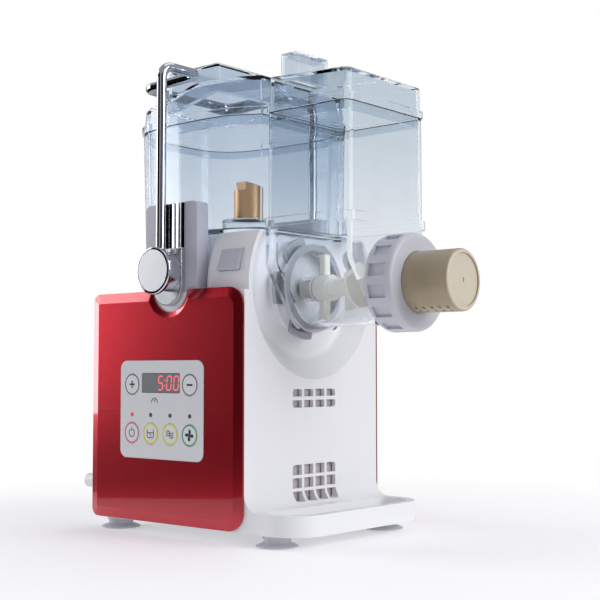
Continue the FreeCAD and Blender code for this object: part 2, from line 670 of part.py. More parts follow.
def bronze_post():
    """Round bronze post with a slanted top, standing on the chamber's disc."""
    low = FLOOR_Z + POST_DISC
    post = rod_z(POST_R, low, low + POST_HEIGHT, POST_X, POST_Y)
    slant = box(-POST_R * 2, POST_R * 2, -POST_R * 2, POST_R * 2, 0, POST_R * 2)
    slant.rotate(V(0, 0, 0), V(1, -1, 0), -14)
    slant.translate(V(POST_X, POST_Y, low + POST_HEIGHT - 3))
    shelf = box(-POST_R, POST_R, -POST_R - 1, -POST_R * 0.55, low + POST_HEIGHT * 0.72, low + POST_HEIGHT + 1)
    shelf.rotate(V(0, 0, 0), V(0, 0, 1), -25)
    shelf.translate(V(POST_X, POST_Y, 0))
    return post.cut([slant, shelf])


# ---- mixing bowl ---------------------------------------------------------------------------------------------------
def trough_outline(x, grow, top):
    """Cross-section of the lower bowl: upright sides, slopes, and a round bottom about the drive axis."""
    radius = TROUGH_R + grow
    front = BOWL_FRONT - grow
    shoulder = TROUGH_SHOULDER - grow * 0.4
    # the slope is the line from the shoulder that touches the round bottom
    dy = front - MID_Y
    dz = shoulder - AXIS_Z
    reach = math.hypot(dy, dz)
    touch = math.atan2(dz, dy) + math.acos(radius / reach)
    tangent = V(x, MID_Y + radius * math.cos(touch), AXIS_Z + radius * math.sin(touch))
    corner = V(x, front, shoulder)
    upper = V(x, front, top)

    def other(p):
        return V(p.x, BODY_DEPTH - p.y, p.z)

    edges = [Part.LineSegment(upper, corner).toShape(), Part.LineSegment(corner, tangent).toShape(),
             Part.Arc(tangent, V(x, MID_Y, AXIS_Z - radius), other(tangent)).toShape(),
             Part.LineSegment(other(tangent), other(corner)).toShape(),
             Part.LineSegment(other(corner), other(upper)).toShape(),
             Part.LineSegment(other(upper), upper).toShape()]
    return Part.Wire(edges)


def trough_block(x0, x1, grow, top):
    shape = Part.Face(trough_outline(x0, grow, top)).extrude(V(x1 - x0, 0, 0))
    corners = edges_along(shape, V(1, 0, 0), lambda p: abs(p.z - (TROUGH_SHOULDER - grow * 0.4)) < 0.1)
    return shape.makeFillet(TROUGH_SHOULDER_ROUND, corners)


def bowl_block(grow, z0, z1):
    shape = box(BOWL_LEFT - grow, BOWL_RIGHT + grow, BOWL_FRONT - grow, BOWL_BACK + grow, z0, z1)
    shape = shape.makeFillet(BOWL_CORNER + grow, edges_along(shape, V(0, 0, 1), lambda p: p.x > BOWL_LEFT + 20))
    corners = edges_along(shape, V(0, 0, 1), lambda p: p.x < BOWL_LEFT + 20)
    return shape.makeFillet(max(BOWL_CORNER_LEFT + grow, 0.5), corners)


def mixing_bowl():
    step = HUMP_TOP + SKIN_GAP + 0.2
    upper = bowl_block(0, step, RIM_Z)
    trough = trough_block(TROUGH_X, BOWL_RIGHT, 0, step + CLEAR_WALL)
    ends = edges_along(trough, V(0, 0, 1), lambda p: p.x > BOWL_RIGHT - 1)
    trough = trough.makeFillet(BOWL_CORNER, ends)
    bead = bowl_block(BEAD_PROUD, BEAD_Z, BEAD_Z + BEAD_HEIGHT)
    bead = bead.common(box(BOWL_LEFT, BOWL_RIGHT * 2, 0, BODY_DEPTH, 0, RIM_Z))
    flange = trough_block(TROUGH_X, TROUGH_X + FLANGE_THICK, FLANGE_PROUD, step)
    flange = flange.common(box(-1, BOWL_RIGHT, 0, BODY_DEPTH, AXIS_Z - TROUGH_R - 1.5, RIM_Z))
    hub = rod_x(HUB_R, -HUB_DEPTH, TROUGH_X + CLEAR_WALL)
    barrel = rod_x(BARREL_R, BOWL_RIGHT - CLEAR_WALL, BARREL_END)
    thread = rod_x(THREAD_R, BOWL_RIGHT - CLEAR_WALL, BARREL_END - 1.5)
    outer = join(upper, trough, bead, flange, hub, barrel, thread)

    inner_upper = bowl_block(-CLEAR_WALL, step + CLEAR_WALL, RIM_Z + 1)
    inner_trough = trough_block(TROUGH_X + CLEAR_WALL, BOWL_RIGHT - CLEAR_WALL, -CLEAR_WALL, step + CLEAR_WALL + 1)
    bore = rod_x(BARREL_BORE_R, BOWL_RIGHT - CLEAR_WALL - 1, BARREL_END + 1)
    spindle = rod_x(SPINDLE_R + PIN_FIT, -HUB_DEPTH - 1, TROUGH_X + CLEAR_WALL + 1)
    return outer.cut([inner_upper, inner_trough, bore, spindle]).removeSplitter()


def lid_slope(lower):
    """What is cut away above the lid's sloping top, lowered by a wall for its inside."""
    left = V(BOWL_LEFT - 1, 0, LID_TOP - lower)
    right = V(BOWL_RIGHT + 5, 0, LID_TOP - LID_FALL - lower)
    points = [left, right, V(BOWL_RIGHT + 5, 0, LID_TOP + 10), V(BOWL_LEFT - 1, 0, LID_TOP + 10)]
    return prism(points, V(0, BODY_DEPTH, 0))


def bowl_lid():
    band = bowl_block(RIM_PROUD, RIM_Z, RIM_Z + RIM_BAND)
    band = band.common(box(BOWL_LEFT, BOWL_RIGHT * 2, 0, BODY_DEPTH, 0, LID_TOP))
    crown = bowl_block(-1.0, RIM_Z + RIM_BAND, LID_TOP + 1).cut(lid_slope(0))
    top_edges = [e for e in crown.Edges if e.BoundBox.ZMin > LID_TOP - LID_FALL - 0.5]
    crown = crown.makeFillet(LID_ROUND, top_edges)
    hollow = bowl_block(-CLEAR_WALL - 1.0, RIM_Z - 1, LID_TOP).cut(lid_slope(CLEAR_WALL))
    tab_front = BOWL_FRONT + BOX_INSET
    tab = block(TAB_LEFT, TAB_LEFT + TAB_WIDTH, tab_front, tab_front + TAB_DEPTH, LID_TOP - 6, TAB_TOP, 2.0)
    inside_tab = box(TAB_LEFT + CLEAR_WALL, TAB_LEFT + TAB_WIDTH - CLEAR_WALL, tab_front + CLEAR_WALL,
                     tab_front + TAB_DEPTH - CLEAR_WALL, RIM_Z, TAB_TOP - CLEAR_WALL)
    lip = bowl_block(-CLEAR_WALL - LIP_GAP, RIM_Z - LIP_DEPTH, RIM_Z + 1)
    lip = lip.cut(bowl_block(-CLEAR_WALL - LIP_GAP - LIP_WALL, RIM_Z - LIP_DEPTH - 1, RIM_Z + 2))
    slot_x = (TAB_LEFT + TAB_WIDTH + BOWL_RIGHT) / 2
    slot = block(slot_x - POUR_SLOT / 2, slot_x + POUR_SLOT / 2, MID_Y - POUR_SLOT_WIDTH / 2,
                 MID_Y + POUR_SLOT_WIDTH / 2, LID_TOP - 9, LID_TOP + 1, POUR_SLOT_WIDTH / 2 - 0.1)
    return join(join(band, crown, tab).cut([hollow, inside_tab, slot]), lip)


# ---- nut, die and seal ---------------------------------------------------------------------------------------------
def die_nut():
    body = rod_x(NUT_R, NUT_START, NUT_END)
    ends = [e for e in body.Edges if e.Length > NUT_R * 3]
    body = body.makeFillet(3.0, ends)
    cuts = [rod_x(THREAD_R + NUT_CLEARANCE, NUT_START - 1, DIE_START + DIE_FLANGE + NUT_CLEARANCE),
            rod_x(DIE_R + NUT_CLEARANCE, NUT_START, NUT_END + 1)]
    for i in range(NUT_RIBS):
        notch = box(NUT_START + 4, NUT_END - 5, MID_Y - 4.2, MID_Y + 4.2, AXIS_Z + NUT_R - 2.2, AXIS_Z + NUT_R + 3)
        notch.rotate(V(0, MID_Y, AXIS_Z), V(1, 0, 0), 360.0 * i / NUT_RIBS)
        cuts.append(notch)
    return body.cut(cuts)


def die_seal():
    return ring_x(BARREL_R, BARREL_BORE_R, BARREL_END, DIE_START)


def die_cap():
    """Closed cup whose underside is pierced by rows of strand holes."""
    flange = rod_x(DIE_FLANGE_R, DIE_START, DIE_START + DIE_FLANGE)
    cup = rod_x(DIE_R, DIE_START, DIE_END)
    cup = cup.makeFillet(2.0, [e for e in cup.Edges if abs(e.CenterOfMass.x - DIE_END) < 1e-6])
    end_dish = rod_x(DIE_R - 2.8, DIE_END - 1.0, DIE_END + 1)
    dimple = rod_x(1.5, DIE_END - 1.5, DIE_END)
    hollow = rod_x(DIE_R - DIE_WALL, DIE_START - 1, DIE_END - DIE_WALL)
    holes = []
    start = NUT_END + 4
    pitch = (DIE_END - 6 - start) / (DIE_HOLE_COLUMNS - 1)
    for column in range(DIE_HOLE_COLUMNS):
        for row in range(DIE_HOLE_ROWS):
            side = (row - (DIE_HOLE_ROWS - 1) / 2.0) * DIE_HOLE * 1.9
            x = start + column * pitch
            holes.append(rod_z(DIE_HOLE / 2, AXIS_Z - DIE_R - 1, AXIS_Z - DIE_R * 0.5, x, MID_Y + side))
    return join(flange, cup).cut([hollow, end_dish, dimple] + holes)


# ---- auger, paddle and drive ---------------------------------------------------------------------------------------
def hexagon(flats, x0, x1):
    radius = flats / math.sqrt(3)
    corners = []
    for i in range(6):
        angle = math.radians(60 * i + 30)
        corners.append(V(x0, MID_Y + radius * math.cos(angle), AXIS_Z + radius * math.sin(angle)))
    return prism(corners, V(x1 - x0, 0, 0))


def auger():
    """Spindle in the bowl's hub, core through the trough, and a screw blade in the barrel."""
    start = -HUB_DEPTH + 1
    spindle = rod_x(SPINDLE_R, start, TROUGH_X + CLEAR_WALL + 1.5)
    core_end = BARREL_END - 2
    core = rod_x(AUGER_CORE_R, TROUGH_X, core_end)
    blade_start = core_end - AUGER_PITCH * AUGER_TURNS - AUGER_BLADE
    helix = Part.makeHelix(AUGER_PITCH, AUGER_PITCH * AUGER_TURNS, AUGER_CORE_R - 1.5)
    section = Part.makePolygon([V(AUGER_CORE_R - 1.5, 0, 0), V(AUGER_R, 0, 0), V(AUGER_R, 0, AUGER_BLADE),
                                V(AUGER_CORE_R - 1.5, 0, AUGER_BLADE), V(AUGER_CORE_R - 1.5, 0, 0)])
    blade = Part.Wire(helix).makePipeShell([section], True, True)
    blade.rotate(V(0, 0, 0), V(0, 1, 0), 90)
    blade.translate(V(blade_start, MID_Y, AXIS_Z))
    socket = hexagon(HEX_FLATS + 2 * HEX_GAP, start - 1, start + HEX_REACH + 1)
    return join(spindle, core, blade).cut(socket)


def paddle():
    """Two stirring arms on a hub that grips the auger's core."""
    start = TROUGH_X + CLEAR_WALL + 3
    hub = rod_x(AUGER_CORE_R + 3, start, start + 11).cut(rod_x(AUGER_CORE_R, start - 1, start + 12))
    arms = []
    for turn in (0, 180):
        arm = box(start + 1, start + 1 + PADDLE_BAR, MID_Y - 3, MID_Y + 3,
                  AXIS_Z + AUGER_CORE_R + 1, AXIS_Z + PADDLE_REACH)
        arm = arm.makeFillet(1.5, edges_along(arm, V(0, 0, 1)))
        arm.rotate(V(0, MID_Y, AXIS_Z), V(1, 0, 0), turn)
        arms.append(arm)
    return join(hub, *arms)


def gear(teeth, x0, width, y, z, phase, hole):
    """Spur gear with involute flanks; phase is the angle of one tooth's middle, from +y towards +z."""
    pitch_r = MODULE * teeth / 2.0
    base_r = pitch_r * math.cos(math.radians(20))
    tip_r = pitch_r + MODULE
    root_r = pitch_r - 1.25 * MODULE
    inv20 = math.tan(math.radians(20)) - math.radians(20)
    half_at_pitch = math.pi / (2 * teeth) - GEAR_BACKLASH / (2 * pitch_r)
    flank_start = max(base_r, root_r)
    flank = []
    steps = 4
    for i in range(steps + 1):
        r = flank_start + (tip_r - flank_start) * i / steps
        pressure = math.acos(min(1.0, base_r / r))
        flank.append((r, half_at_pitch + inv20 - (math.tan(pressure) - pressure)))
    points = []
    for tooth in range(teeth):
        centre = math.radians(phase) + 2 * math.pi * tooth / teeth
        sides = [(root_r, flank[0][1])] + flank
        profile = [(r, centre - a) for r, a in sides] + [(r, centre + a) for r, a in reversed(sides)]
        for r, a in profile:
            points.append(V(x0, y + r * math.cos(a), z + r * math.sin(a)))
    return prism(points, V(width, 0, 0)).cut(rod_x(hole, x0 - 1, x0 + width + 1, y, z))


def meshing_phase(driver_phase, driver_teeth, driven_teeth, direction):
    """Phase of a driven gear whose gap meets the driver's tooth along the line of centres."""
    offset = (direction - driver_phase) % (360.0 / driver_teeth)
    return direction + 180.0 + 180.0 / driven_teeth + offset * driver_teeth / driven_teeth


def motor_pinion():
    return gear(MOTOR_PINION_TEETH, FIRST_STAGE_X, GEAR_WIDTH, MID_Y, MOTOR_Z, 90.0, MOTOR_SHAFT_R)


def idler_gear():
    phase = meshing_phase(90.0, MOTOR_PINION_TEETH, IDLER_TEETH, 90.0)
    wheel = gear(IDLER_TEETH, FIRST_STAGE_X, GEAR_WIDTH, MID_Y, IDLER_Z, phase, IDLER_PIN_R + PIN_FIT)
    pinion = gear(IDLER_PINION_TEETH, SECOND_STAGE_X, GEAR_WIDTH, MID_Y, IDLER_Z, 90.0, IDLER_PIN_R + PIN_FIT)
    neck = ring_x(AUGER_CORE_R, IDLER_PIN_R + PIN_FIT, SECOND_STAGE_X + GEAR_WIDTH - 1, FIRST_STAGE_X + 1,
                  MID_Y, IDLER_Z)
    return join(wheel, pinion, neck)


def output_gear():
    phase = meshing_phase(90.0, IDLER_PINION_TEETH, OUTPUT_TEETH, 90.0)
    return gear(OUTPUT_TEETH, SECOND_STAGE_X, GEAR_WIDTH, MID_Y, AXIS_Z, phase, SHAFT_R)


def drive_shaft():
    shaft = rod_x(SHAFT_R, FRAME_X - BEARING_WIDTH, -HUB_DEPTH)
    tongue = hexagon(HEX_FLATS, -HUB_DEPTH - 1, -HUB_DEPTH + HEX_REACH)
    return join(shaft, tongue)


def shaft_bearings():
    inner = SHAFT_R + PIN_FIT
    left = ring_x(BEARING_R, inner, FRAME_X - BEARING_WIDTH + FRAME_THICK, FRAME_X + FRAME_THICK)
    right = ring_x(BEARING_R, inner, -RECESS_DEPTH - BEARING_WIDTH - 1, -RECESS_DEPTH - 1)
    return Part.Compound([left, right])


def idler_pin():
    end = FIRST_STAGE_X + GEAR_WIDTH + SKIN_GAP
    pin = rod_x(IDLER_PIN_R, FRAME_X, end, MID_Y, IDLER_Z)
    return join(pin, rod_x(IDLER_PIN_R + 2, end, end + 1.2, MID_Y, IDLER_Z))


def gearbox_frame():
    """Folded steel plate that stands on the base and carries motor, idler and drive shaft."""
    high = AXIS_Z + BEARING_R + 8
    plate = box(FRAME_X, FRAME_X + FRAME_THICK, MID_Y - FRAME_HALF, MID_Y + FRAME_HALF,
                BASE_TOP, BODY_TOP - WALL * 3)
    neck = box(FRAME_X, FRAME_X + FRAME_THICK, MID_Y - BEARING_R * 2, MID_Y + BEARING_R * 2, BASE_TOP, high)
    foot = box(FRAME_X - 34, FRAME_X + FRAME_THICK, MID_Y - FRAME_HALF, MID_Y + FRAME_HALF,
               BASE_TOP, BASE_TOP + FRAME_THICK)
    cuts = [rod_x(BEARING_R, FRAME_X - 1, FRAME_X + 4),
            rod_x(IDLER_PIN_R, FRAME_X - 1, FRAME_X + 4, MID_Y, IDLER_Z),
            rod_x(MOTOR_SHAFT_R + 1, FRAME_X - 1, FRAME_X + 4, MID_Y, MOTOR_Z)]
    return join(plate, neck, foot).cut(cuts)


def motor_can():
    left = FRAME_X - MOTOR_LENGTH
    can = rod_x(MOTOR_R, left, FRAME_X, MID_Y, MOTOR_Z)
    inside = rod_x(MOTOR_R - MOTOR_WALL, left + MOTOR_WALL, FRAME_X - MOTOR_WALL, MID_Y, MOTOR_Z)
    hole = rod_x(MOTOR_SHAFT_R + PIN_FIT, left - 1, FRAME_X + 1, MID_Y, MOTOR_Z)
    return can.cut([inside, hole])


def motor_stator():
    left = FRAME_X - MOTOR_LENGTH + MOTOR_WALL + 6
    return ring_x(MOTOR_R - MOTOR_WALL, ROTOR_R + ROTOR_GAP, left, FRAME_X - MOTOR_WALL - 6, MID_Y, MOTOR_Z)


def motor_rotor():
    left = FRAME_X - MOTOR_LENGTH + MOTOR_WALL + 6
    return ring_x(ROTOR_R, MOTOR_SHAFT_R, left, FRAME_X - MOTOR_WALL - 6, MID_Y, MOTOR_Z)


def motor_shaft():
    left = FRAME_X - MOTOR_LENGTH - FAN_WIDTH - 4
    return rod_x(MOTOR_SHAFT_R, left, FIRST_STAGE_X + GEAR_WIDTH, MID_Y, MOTOR_Z)


def cooling_fan():
    right = FRAME_X - MOTOR_LENGTH - 2
    hub = ring_x(MOTOR_SHAFT_R + 4, MOTOR_SHAFT_R, right - FAN_WIDTH, right, MID_Y, MOTOR_Z)
    blades = []
    for i in range(FAN_BLADES):
        blade = box(right - FAN_WIDTH, right, MID_Y - 0.8, MID_Y + 0.8,
                    MOTOR_Z + MOTOR_SHAFT_R + 3, MOTOR_Z + FAN_R)
        blade.rotate(V(right, MID_Y, MOTOR_Z + FAN_R * 0.6), V(0, 0, 1), 28)
        blade.rotate(V(0, MID_Y, MOTOR_Z), V(1, 0, 0), 360.0 * i / FAN_BLADES)
        blades.append(blade)
    return join(hub, *blades)


# ---- bowl lock and small pieces ------------------------------------------------------------------------------------
def round_the_axis(shape, angle):
    """A piece made below the drive axis, turned to its place round it."""
    shape.rotate(V(0, MID_Y, AXIS_Z), V(1, 0, 0), angle)
    return shape


def lock_ring_screws():
    face = -RECESS_DEPTH + LOCK_RING_THICK + WEDGE_RISE
    z = AXIS_Z - (WEDGE_OUTER_R + WEDGE_INNER_R) / 2
    screws = []
    for angle in WEDGE_ANGLES:
        shank = rod_x(1.5, -RECESS_DEPTH, face, MID_Y, z)
        head = rod_x(2.6, face - 1.6, face, MID_Y, z)
        screws.append(round_the_axis(join(shank, head), angle))
    return screws


def lock_ring():
    """Ring on the recess floor that the bowl's hub plugs into."""
    ring = ring_x(LOCK_RING_R, HUB_R + 0.4, -RECESS_DEPTH, -RECESS_DEPTH + LOCK_RING_THICK)
    return ring.cut(lock_ring_screws())


def lock_wedges():
    """Metal wedges screwed to the ring's face, where the bowl's flange catches."""
    face = -RECESS_DEPTH + LOCK_RING_THICK
    wedges = []
    for angle in WEDGE_ANGLES:
        wedge = ring_x(WEDGE_OUTER_R, WEDGE_INNER_R, face, face + WEDGE_RISE)
        keep = box(-RECESS_DEPTH, 0, MID_Y - WEDGE_HALF, MID_Y + WEDGE_HALF, AXIS_Z - WEDGE_OUTER_R - 1, AXIS_Z)
        wedges.append(round_the_axis(wedge.common(keep), angle))
    below_chamber = box(-RECESS_DEPTH, 0, 0, BODY_DEPTH, 0, HUMP_TOP - SKIN_GAP)
    screws = lock_ring_screws()
    return Part.Compound([wedge.cut(screws).common(below_chamber) for wedge in wedges])


def release_button():
    face = MID_Y - HUMP_R * 0.985 - RELEASE_PROUD
    gap = KEY_GAP
    button = box(RELEASE_LEFT + gap, RELEASE_LEFT + RELEASE_WIDTH - gap, face, RELEASE_BACK,
                 RELEASE_BOTTOM + gap, RELEASE_BOTTOM + RELEASE_HEIGHT - gap)
    low = RELEASE_BOTTOM - 1
    high = RELEASE_BOTTOM + RELEASE_HEIGHT + 1
    corners = [V(-BODY_WIDTH, face - 1, low), V(-BODY_WIDTH, face - 1, high), V(-BODY_WIDTH, face + 5.2, high)]
    slope = prism(corners, V(BODY_WIDTH, 0, 0))
    return button.cut(slope)


def foot_places():
    back = BODY_DEPTH - FOOT_INSET
    return [(FOOT_LEFT, FOOT_INSET), (FOOT_RIGHT, FOOT_INSET), (FOOT_LEFT, back), (FOOT_RIGHT, back)]


def suction_foot(x, y):
    """Suction cup on a neck, with a collar under the housing and a stud through the base plate."""
    collar = (FOOT_CUP + BODY_BOTTOM) / 2.0
    profile = [V(0, 0, FOOT_HOLLOW), V(FOOT_HOLLOW_R, 0, 0), V(FOOT_R, 0, 0), V(FOOT_R, 0, FOOT_LIP),
               V(FOOT_NECK_R, 0, FOOT_CUP), V(FOOT_NECK_R, 0, collar), V(FOOT_COLLAR_R, 0, collar),
               V(FOOT_COLLAR_R, 0, BODY_BOTTOM), V(FOOT_STUD_R, 0, BODY_BOTTOM),
               V(FOOT_STUD_R, 0, BASE_TOP + 1.5), V(0, 0, BASE_TOP + 1.5), V(0, 0, FOOT_HOLLOW)]
    foot = Part.Face(Part.makePolygon(profile)).revolve(V(0, 0, 0), V(0, 0, 1), 360)
    foot.translate(V(x, y, 0))
    return foot


def cord_gland():
    left = -BODY_WIDTH - GLAND_REACH
    flange = rod_x(GLAND_R + 2, -BODY_WIDTH - 2.5, -BODY_WIDTH, GLAND_Y, GLAND_Z)
    sleeve = Part.makeCone(GLAND_R - 0.6, GLAND_R, GLAND_REACH, V(left, GLAND_Y, GLAND_Z), V(1, 0, 0))
    tail = rod_x(GLAND_R - 1.0, -BODY_WIDTH, -BODY_WIDTH + WALL, GLAND_Y, GLAND_Z)
    nut = rod_x(GLAND_R + 2, -BODY_WIDTH + WALL, -BODY_WIDTH + WALL + 3, GLAND_Y, GLAND_Z)
    bore = rod_x(GLAND_BORE_R, left - 1, 0, GLAND_Y, GLAND_Z)
    return join(flange, sleeve, tail, nut).cut(bore)


def power_supply():
    """Supply board on four short legs, with its transformer block."""
    x0 = -BODY_WIDTH + WALL + 20
    y0 = MID_Y + 8
    board = box(x0, x0 + 44, y0, y0 + 50, BASE_TOP + 5, BASE_TOP + 6.6)
    block_on_top = box(x0 + 6, x0 + 30, y0 + 10, y0 + 38, BASE_TOP + 6.6, BASE_TOP + 28)
    legs = [box(x, x + 4, y, y + 4, BASE_TOP, BASE_TOP + 5) for x in (x0, x0 + 40) for y in (y0, y0 + 46)]
    return join(board, block_on_top, *legs)


def base_screws():
    screws = []
    for x in (FRAME_X - 26, FRAME_X - 10):
        for y in (MID_Y - FRAME_HALF + 8, MID_Y + FRAME_HALF - 8):
            screws.append(rod_z(3.5, BASE_TOP + FRAME_THICK, BASE_TOP + FRAME_THICK + 2, x, y))
    return Part.Compound(screws)


def bowl_seal():
    """Soft ring round the hub, against the back of the flange."""
    return ring_x(HUB_R + 4.5, HUB_R, TROUGH_X - 2.0, TROUGH_X)


def make_pieces():
    pieces = {
        "housing": housing(), "base_plate": base_plate(), "front_panel": front_panel(),
        "rear_panel": mirror_y(red_panel()), "fascia": fascia(),
        "display_window": display_block(0, -FASCIA_PROUD, PANEL_THICK), "display_module": display_module(),
        "led_power": led(KEY_COLUMNS[0]), "led_lenses": Part.Compound([led(x) for x in KEY_COLUMNS[1:]]),
        "control_board": control_board(), "key_switches": key_switches(),
        "front_pillar": front_pillar(), "rear_pillar": mirror_y(front_pillar()),
        "front_strip": pillar_strip(), "rear_strip": mirror_y(pillar_strip()),
        "front_knob_base": knob_base(), "rear_knob_base": mirror_y(knob_base()),
        "front_knob": knob(), "rear_knob": mirror_y(knob()), "bail_rod": bail(),
        "side_chamber": side_chamber(), "side_cover": side_cover(), "bronze_post": bronze_post(),
        "mixing_bowl": mixing_bowl(), "bowl_lid": bowl_lid(), "bowl_seal": bowl_seal(),
        "die_nut": die_nut(), "die_seal": die_seal(), "die_cap": die_cap(),
        "auger": auger(), "paddle": paddle(), "drive_shaft": drive_shaft(), "output_gear": output_gear(),
        "idler_gear": idler_gear(), "idler_pin": idler_pin(), "shaft_bearings": shaft_bearings(),
        "gearbox_frame": gearbox_frame(), "motor_can": motor_can(), "motor_stator": motor_stator(),
        "motor_rotor": motor_rotor(), "motor_shaft": motor_shaft(), "motor_pinion": motor_pinion(),
        "cooling_fan": cooling_fan(), "lock_ring": lock_ring(), "lock_wedges": lock_wedges(),
        "lock_ring_screws": Part.Compound(lock_ring_screws()),
        "release_button": release_button(), "cord_gland": cord_gland(), "power_supply": power_supply(),
        "base_screws": base_screws(),
    }
    for name, (x, z) in key_places().items():
        pieces[name] = key(x, z)
    names = ["foot_front_left", "foot_front_right", "foot_rear_left", "foot_rear_right"]
    for name, (x, y) in zip(names, foot_places()):
        pieces[name] = suction_foot(x, y)
    return pieces


def main():
    os.makedirs("parts", exist_ok=True)
    middle_x = (DIE_END - BODY_WIDTH - GLAND_REACH) / 2.0
    for name, shape in make_pieces().items():
        shape.translate(V(-middle_x, -MID_Y, 0))
        shape.exportStep("parts/" + name + ".step")
        box_of = shape.BoundBox
        print(f"{name:18s} valid={shape.isValid()} solids={len(shape.Solids)} volume={shape.Volume:10.1f} "
              f"x {box_of.XMin:7.1f} {box_of.XMax:7.1f}  y {box_of.YMin:7.1f} {box_of.YMax:7.1f}  "
              f"z {box_of.ZMin:7.1f} {box_of.ZMax:7.1f}")


main()
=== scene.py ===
# %% [markdown]
# # An electric pasta maker, dressed in Blender
#
# The machine's shapes arrive from CAD: a white moulded housing between two red panels, a clear mixing bowl, a
# clear side chamber, a chrome bail and a pierced die cap. What is left to do is what a product stylist does:
# decide what each surface is made of and how it was finished, add the printed and plated details that are too
# fine for CAD, and light it.
#
# Everything is in metres. +Z is up, -Y is the front with the controls, and +X is where the die points.

# %% Load the frame
import math

import bmesh
import bpy
from mathutils import Matrix, Vector


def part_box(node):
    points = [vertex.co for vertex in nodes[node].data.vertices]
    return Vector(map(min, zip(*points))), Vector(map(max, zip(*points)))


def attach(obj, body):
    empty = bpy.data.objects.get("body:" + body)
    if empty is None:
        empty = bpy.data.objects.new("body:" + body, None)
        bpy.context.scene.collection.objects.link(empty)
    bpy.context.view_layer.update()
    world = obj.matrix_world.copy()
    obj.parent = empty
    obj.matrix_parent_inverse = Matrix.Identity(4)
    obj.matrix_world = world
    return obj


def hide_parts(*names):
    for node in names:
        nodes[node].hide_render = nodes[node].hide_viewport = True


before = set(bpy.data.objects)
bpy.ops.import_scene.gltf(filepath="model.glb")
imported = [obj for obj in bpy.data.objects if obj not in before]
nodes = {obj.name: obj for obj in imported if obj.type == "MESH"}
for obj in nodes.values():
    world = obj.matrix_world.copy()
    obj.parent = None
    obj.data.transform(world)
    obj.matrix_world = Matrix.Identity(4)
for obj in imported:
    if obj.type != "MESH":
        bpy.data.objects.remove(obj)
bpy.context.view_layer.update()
MM = 0.001

# %% [markdown]
# ## Camera
#
# The camera stands low and a little to the right of the controls, so that the machine looks tall. A long lens
# (70 mm on a full frame) keeps its verticals straight.

# %% Camera
camera_data = bpy.data.cameras.new("long_lens")
camera_data.lens = 70.35
camera_data.sensor_width = 36.0
camera_data.clip_start = 0.05
camera_data.dof.use_dof = False
camera = bpy.data.objects.new("camera", camera_data)
bpy.context.scene.collection.objects.link(camera)
camera.location = (0.5430, -0.6227, 0.1130)
camera.rotation_euler = (math.radians(90 + 3.38), 0.0, math.radians(40.5))
bpy.context.scene.camera = camera
bpy.context.scene.view_settings.view_transform = "Standard"
print("camera at", tuple(camera.location))

# %% [markdown]
# ## Two helpers for materials
#
# Colours are easiest to judge as the hex values that a paint chart or a screen gives. Those are sRGB, and
# shaders compute in linear light, so one function turns them over. A second one adds a node with its settings
# and links.

# %% Colour and node helpers
def linear(hex_colour, alpha=1.0):
    """'#RRGGBB' in sRGB to the linear values a shader works in."""
    values = [int(hex_colour[i:i + 2], 16) / 255.0 for i in (1, 3, 5)]
    return tuple(v / 12.92 if v <= 0.04045 else ((v + 0.055) / 1.055) ** 2.4 for v in values) + (alpha,)


def add_node(tree, kind, settings=None, values=None, links=None):
    """Adds one node: settings are its properties, values its plain sockets, links what feeds a socket."""
    node = tree.nodes.new(kind)
    for key, value in (settings or {}).items():
        setattr(node, key, value)
    for socket, value in (values or {}).items():
        node.inputs[socket].default_value = value
    for socket, source in (links or {}).items():
        tree.links.new(source, node.inputs[socket])
    return node


def new_material(name):
    """A material with an empty tree and its output node."""
    material = bpy.data.materials.new(name)
    material.use_nodes = True
    material.node_tree.nodes.clear()
    return material, material.node_tree, add_node(material.node_tree, "ShaderNodeOutputMaterial")


def moulding_bump(tree, grain_mm, height_mm, stretch=(1, 1, 1)):
    """Fine relief of a real size, as a normal: grain_mm is the size of one grain, height_mm its depth."""
    place = add_node(tree, "ShaderNodeTexCoord")
    scaled = add_node(tree, "ShaderNodeMapping", values={"Scale": stretch},
                      links={"Vector": place.outputs["Object"]})
    noise = add_node(tree, "ShaderNodeTexNoise",
                     values={"Scale": 1000.0 / grain_mm, "Detail": 2.0, "Roughness": 0.5},
                     links={"Vector": scaled.outputs["Vector"]})
    bump = add_node(tree, "ShaderNodeBump", values={"Strength": 1.0, "Distance": height_mm * MM},
                    links={"Height": noise.outputs["Fac"]})
    return bump.outputs["Normal"]


print("helpers ready")

# %% [markdown]
# ## Moulded ABS
#
# The housing is ABS, injected into a mould whose steel was polished, so it is white, smooth and slightly soft
# in its reflections. The gate and the cooling leave the colour a touch uneven over centimetres, and a very
# fine relief breaks up the reflections. Both come from noise at those real sizes. The other plastics differ
# in their colour, their gloss and how far light enters them, so one function makes them all.

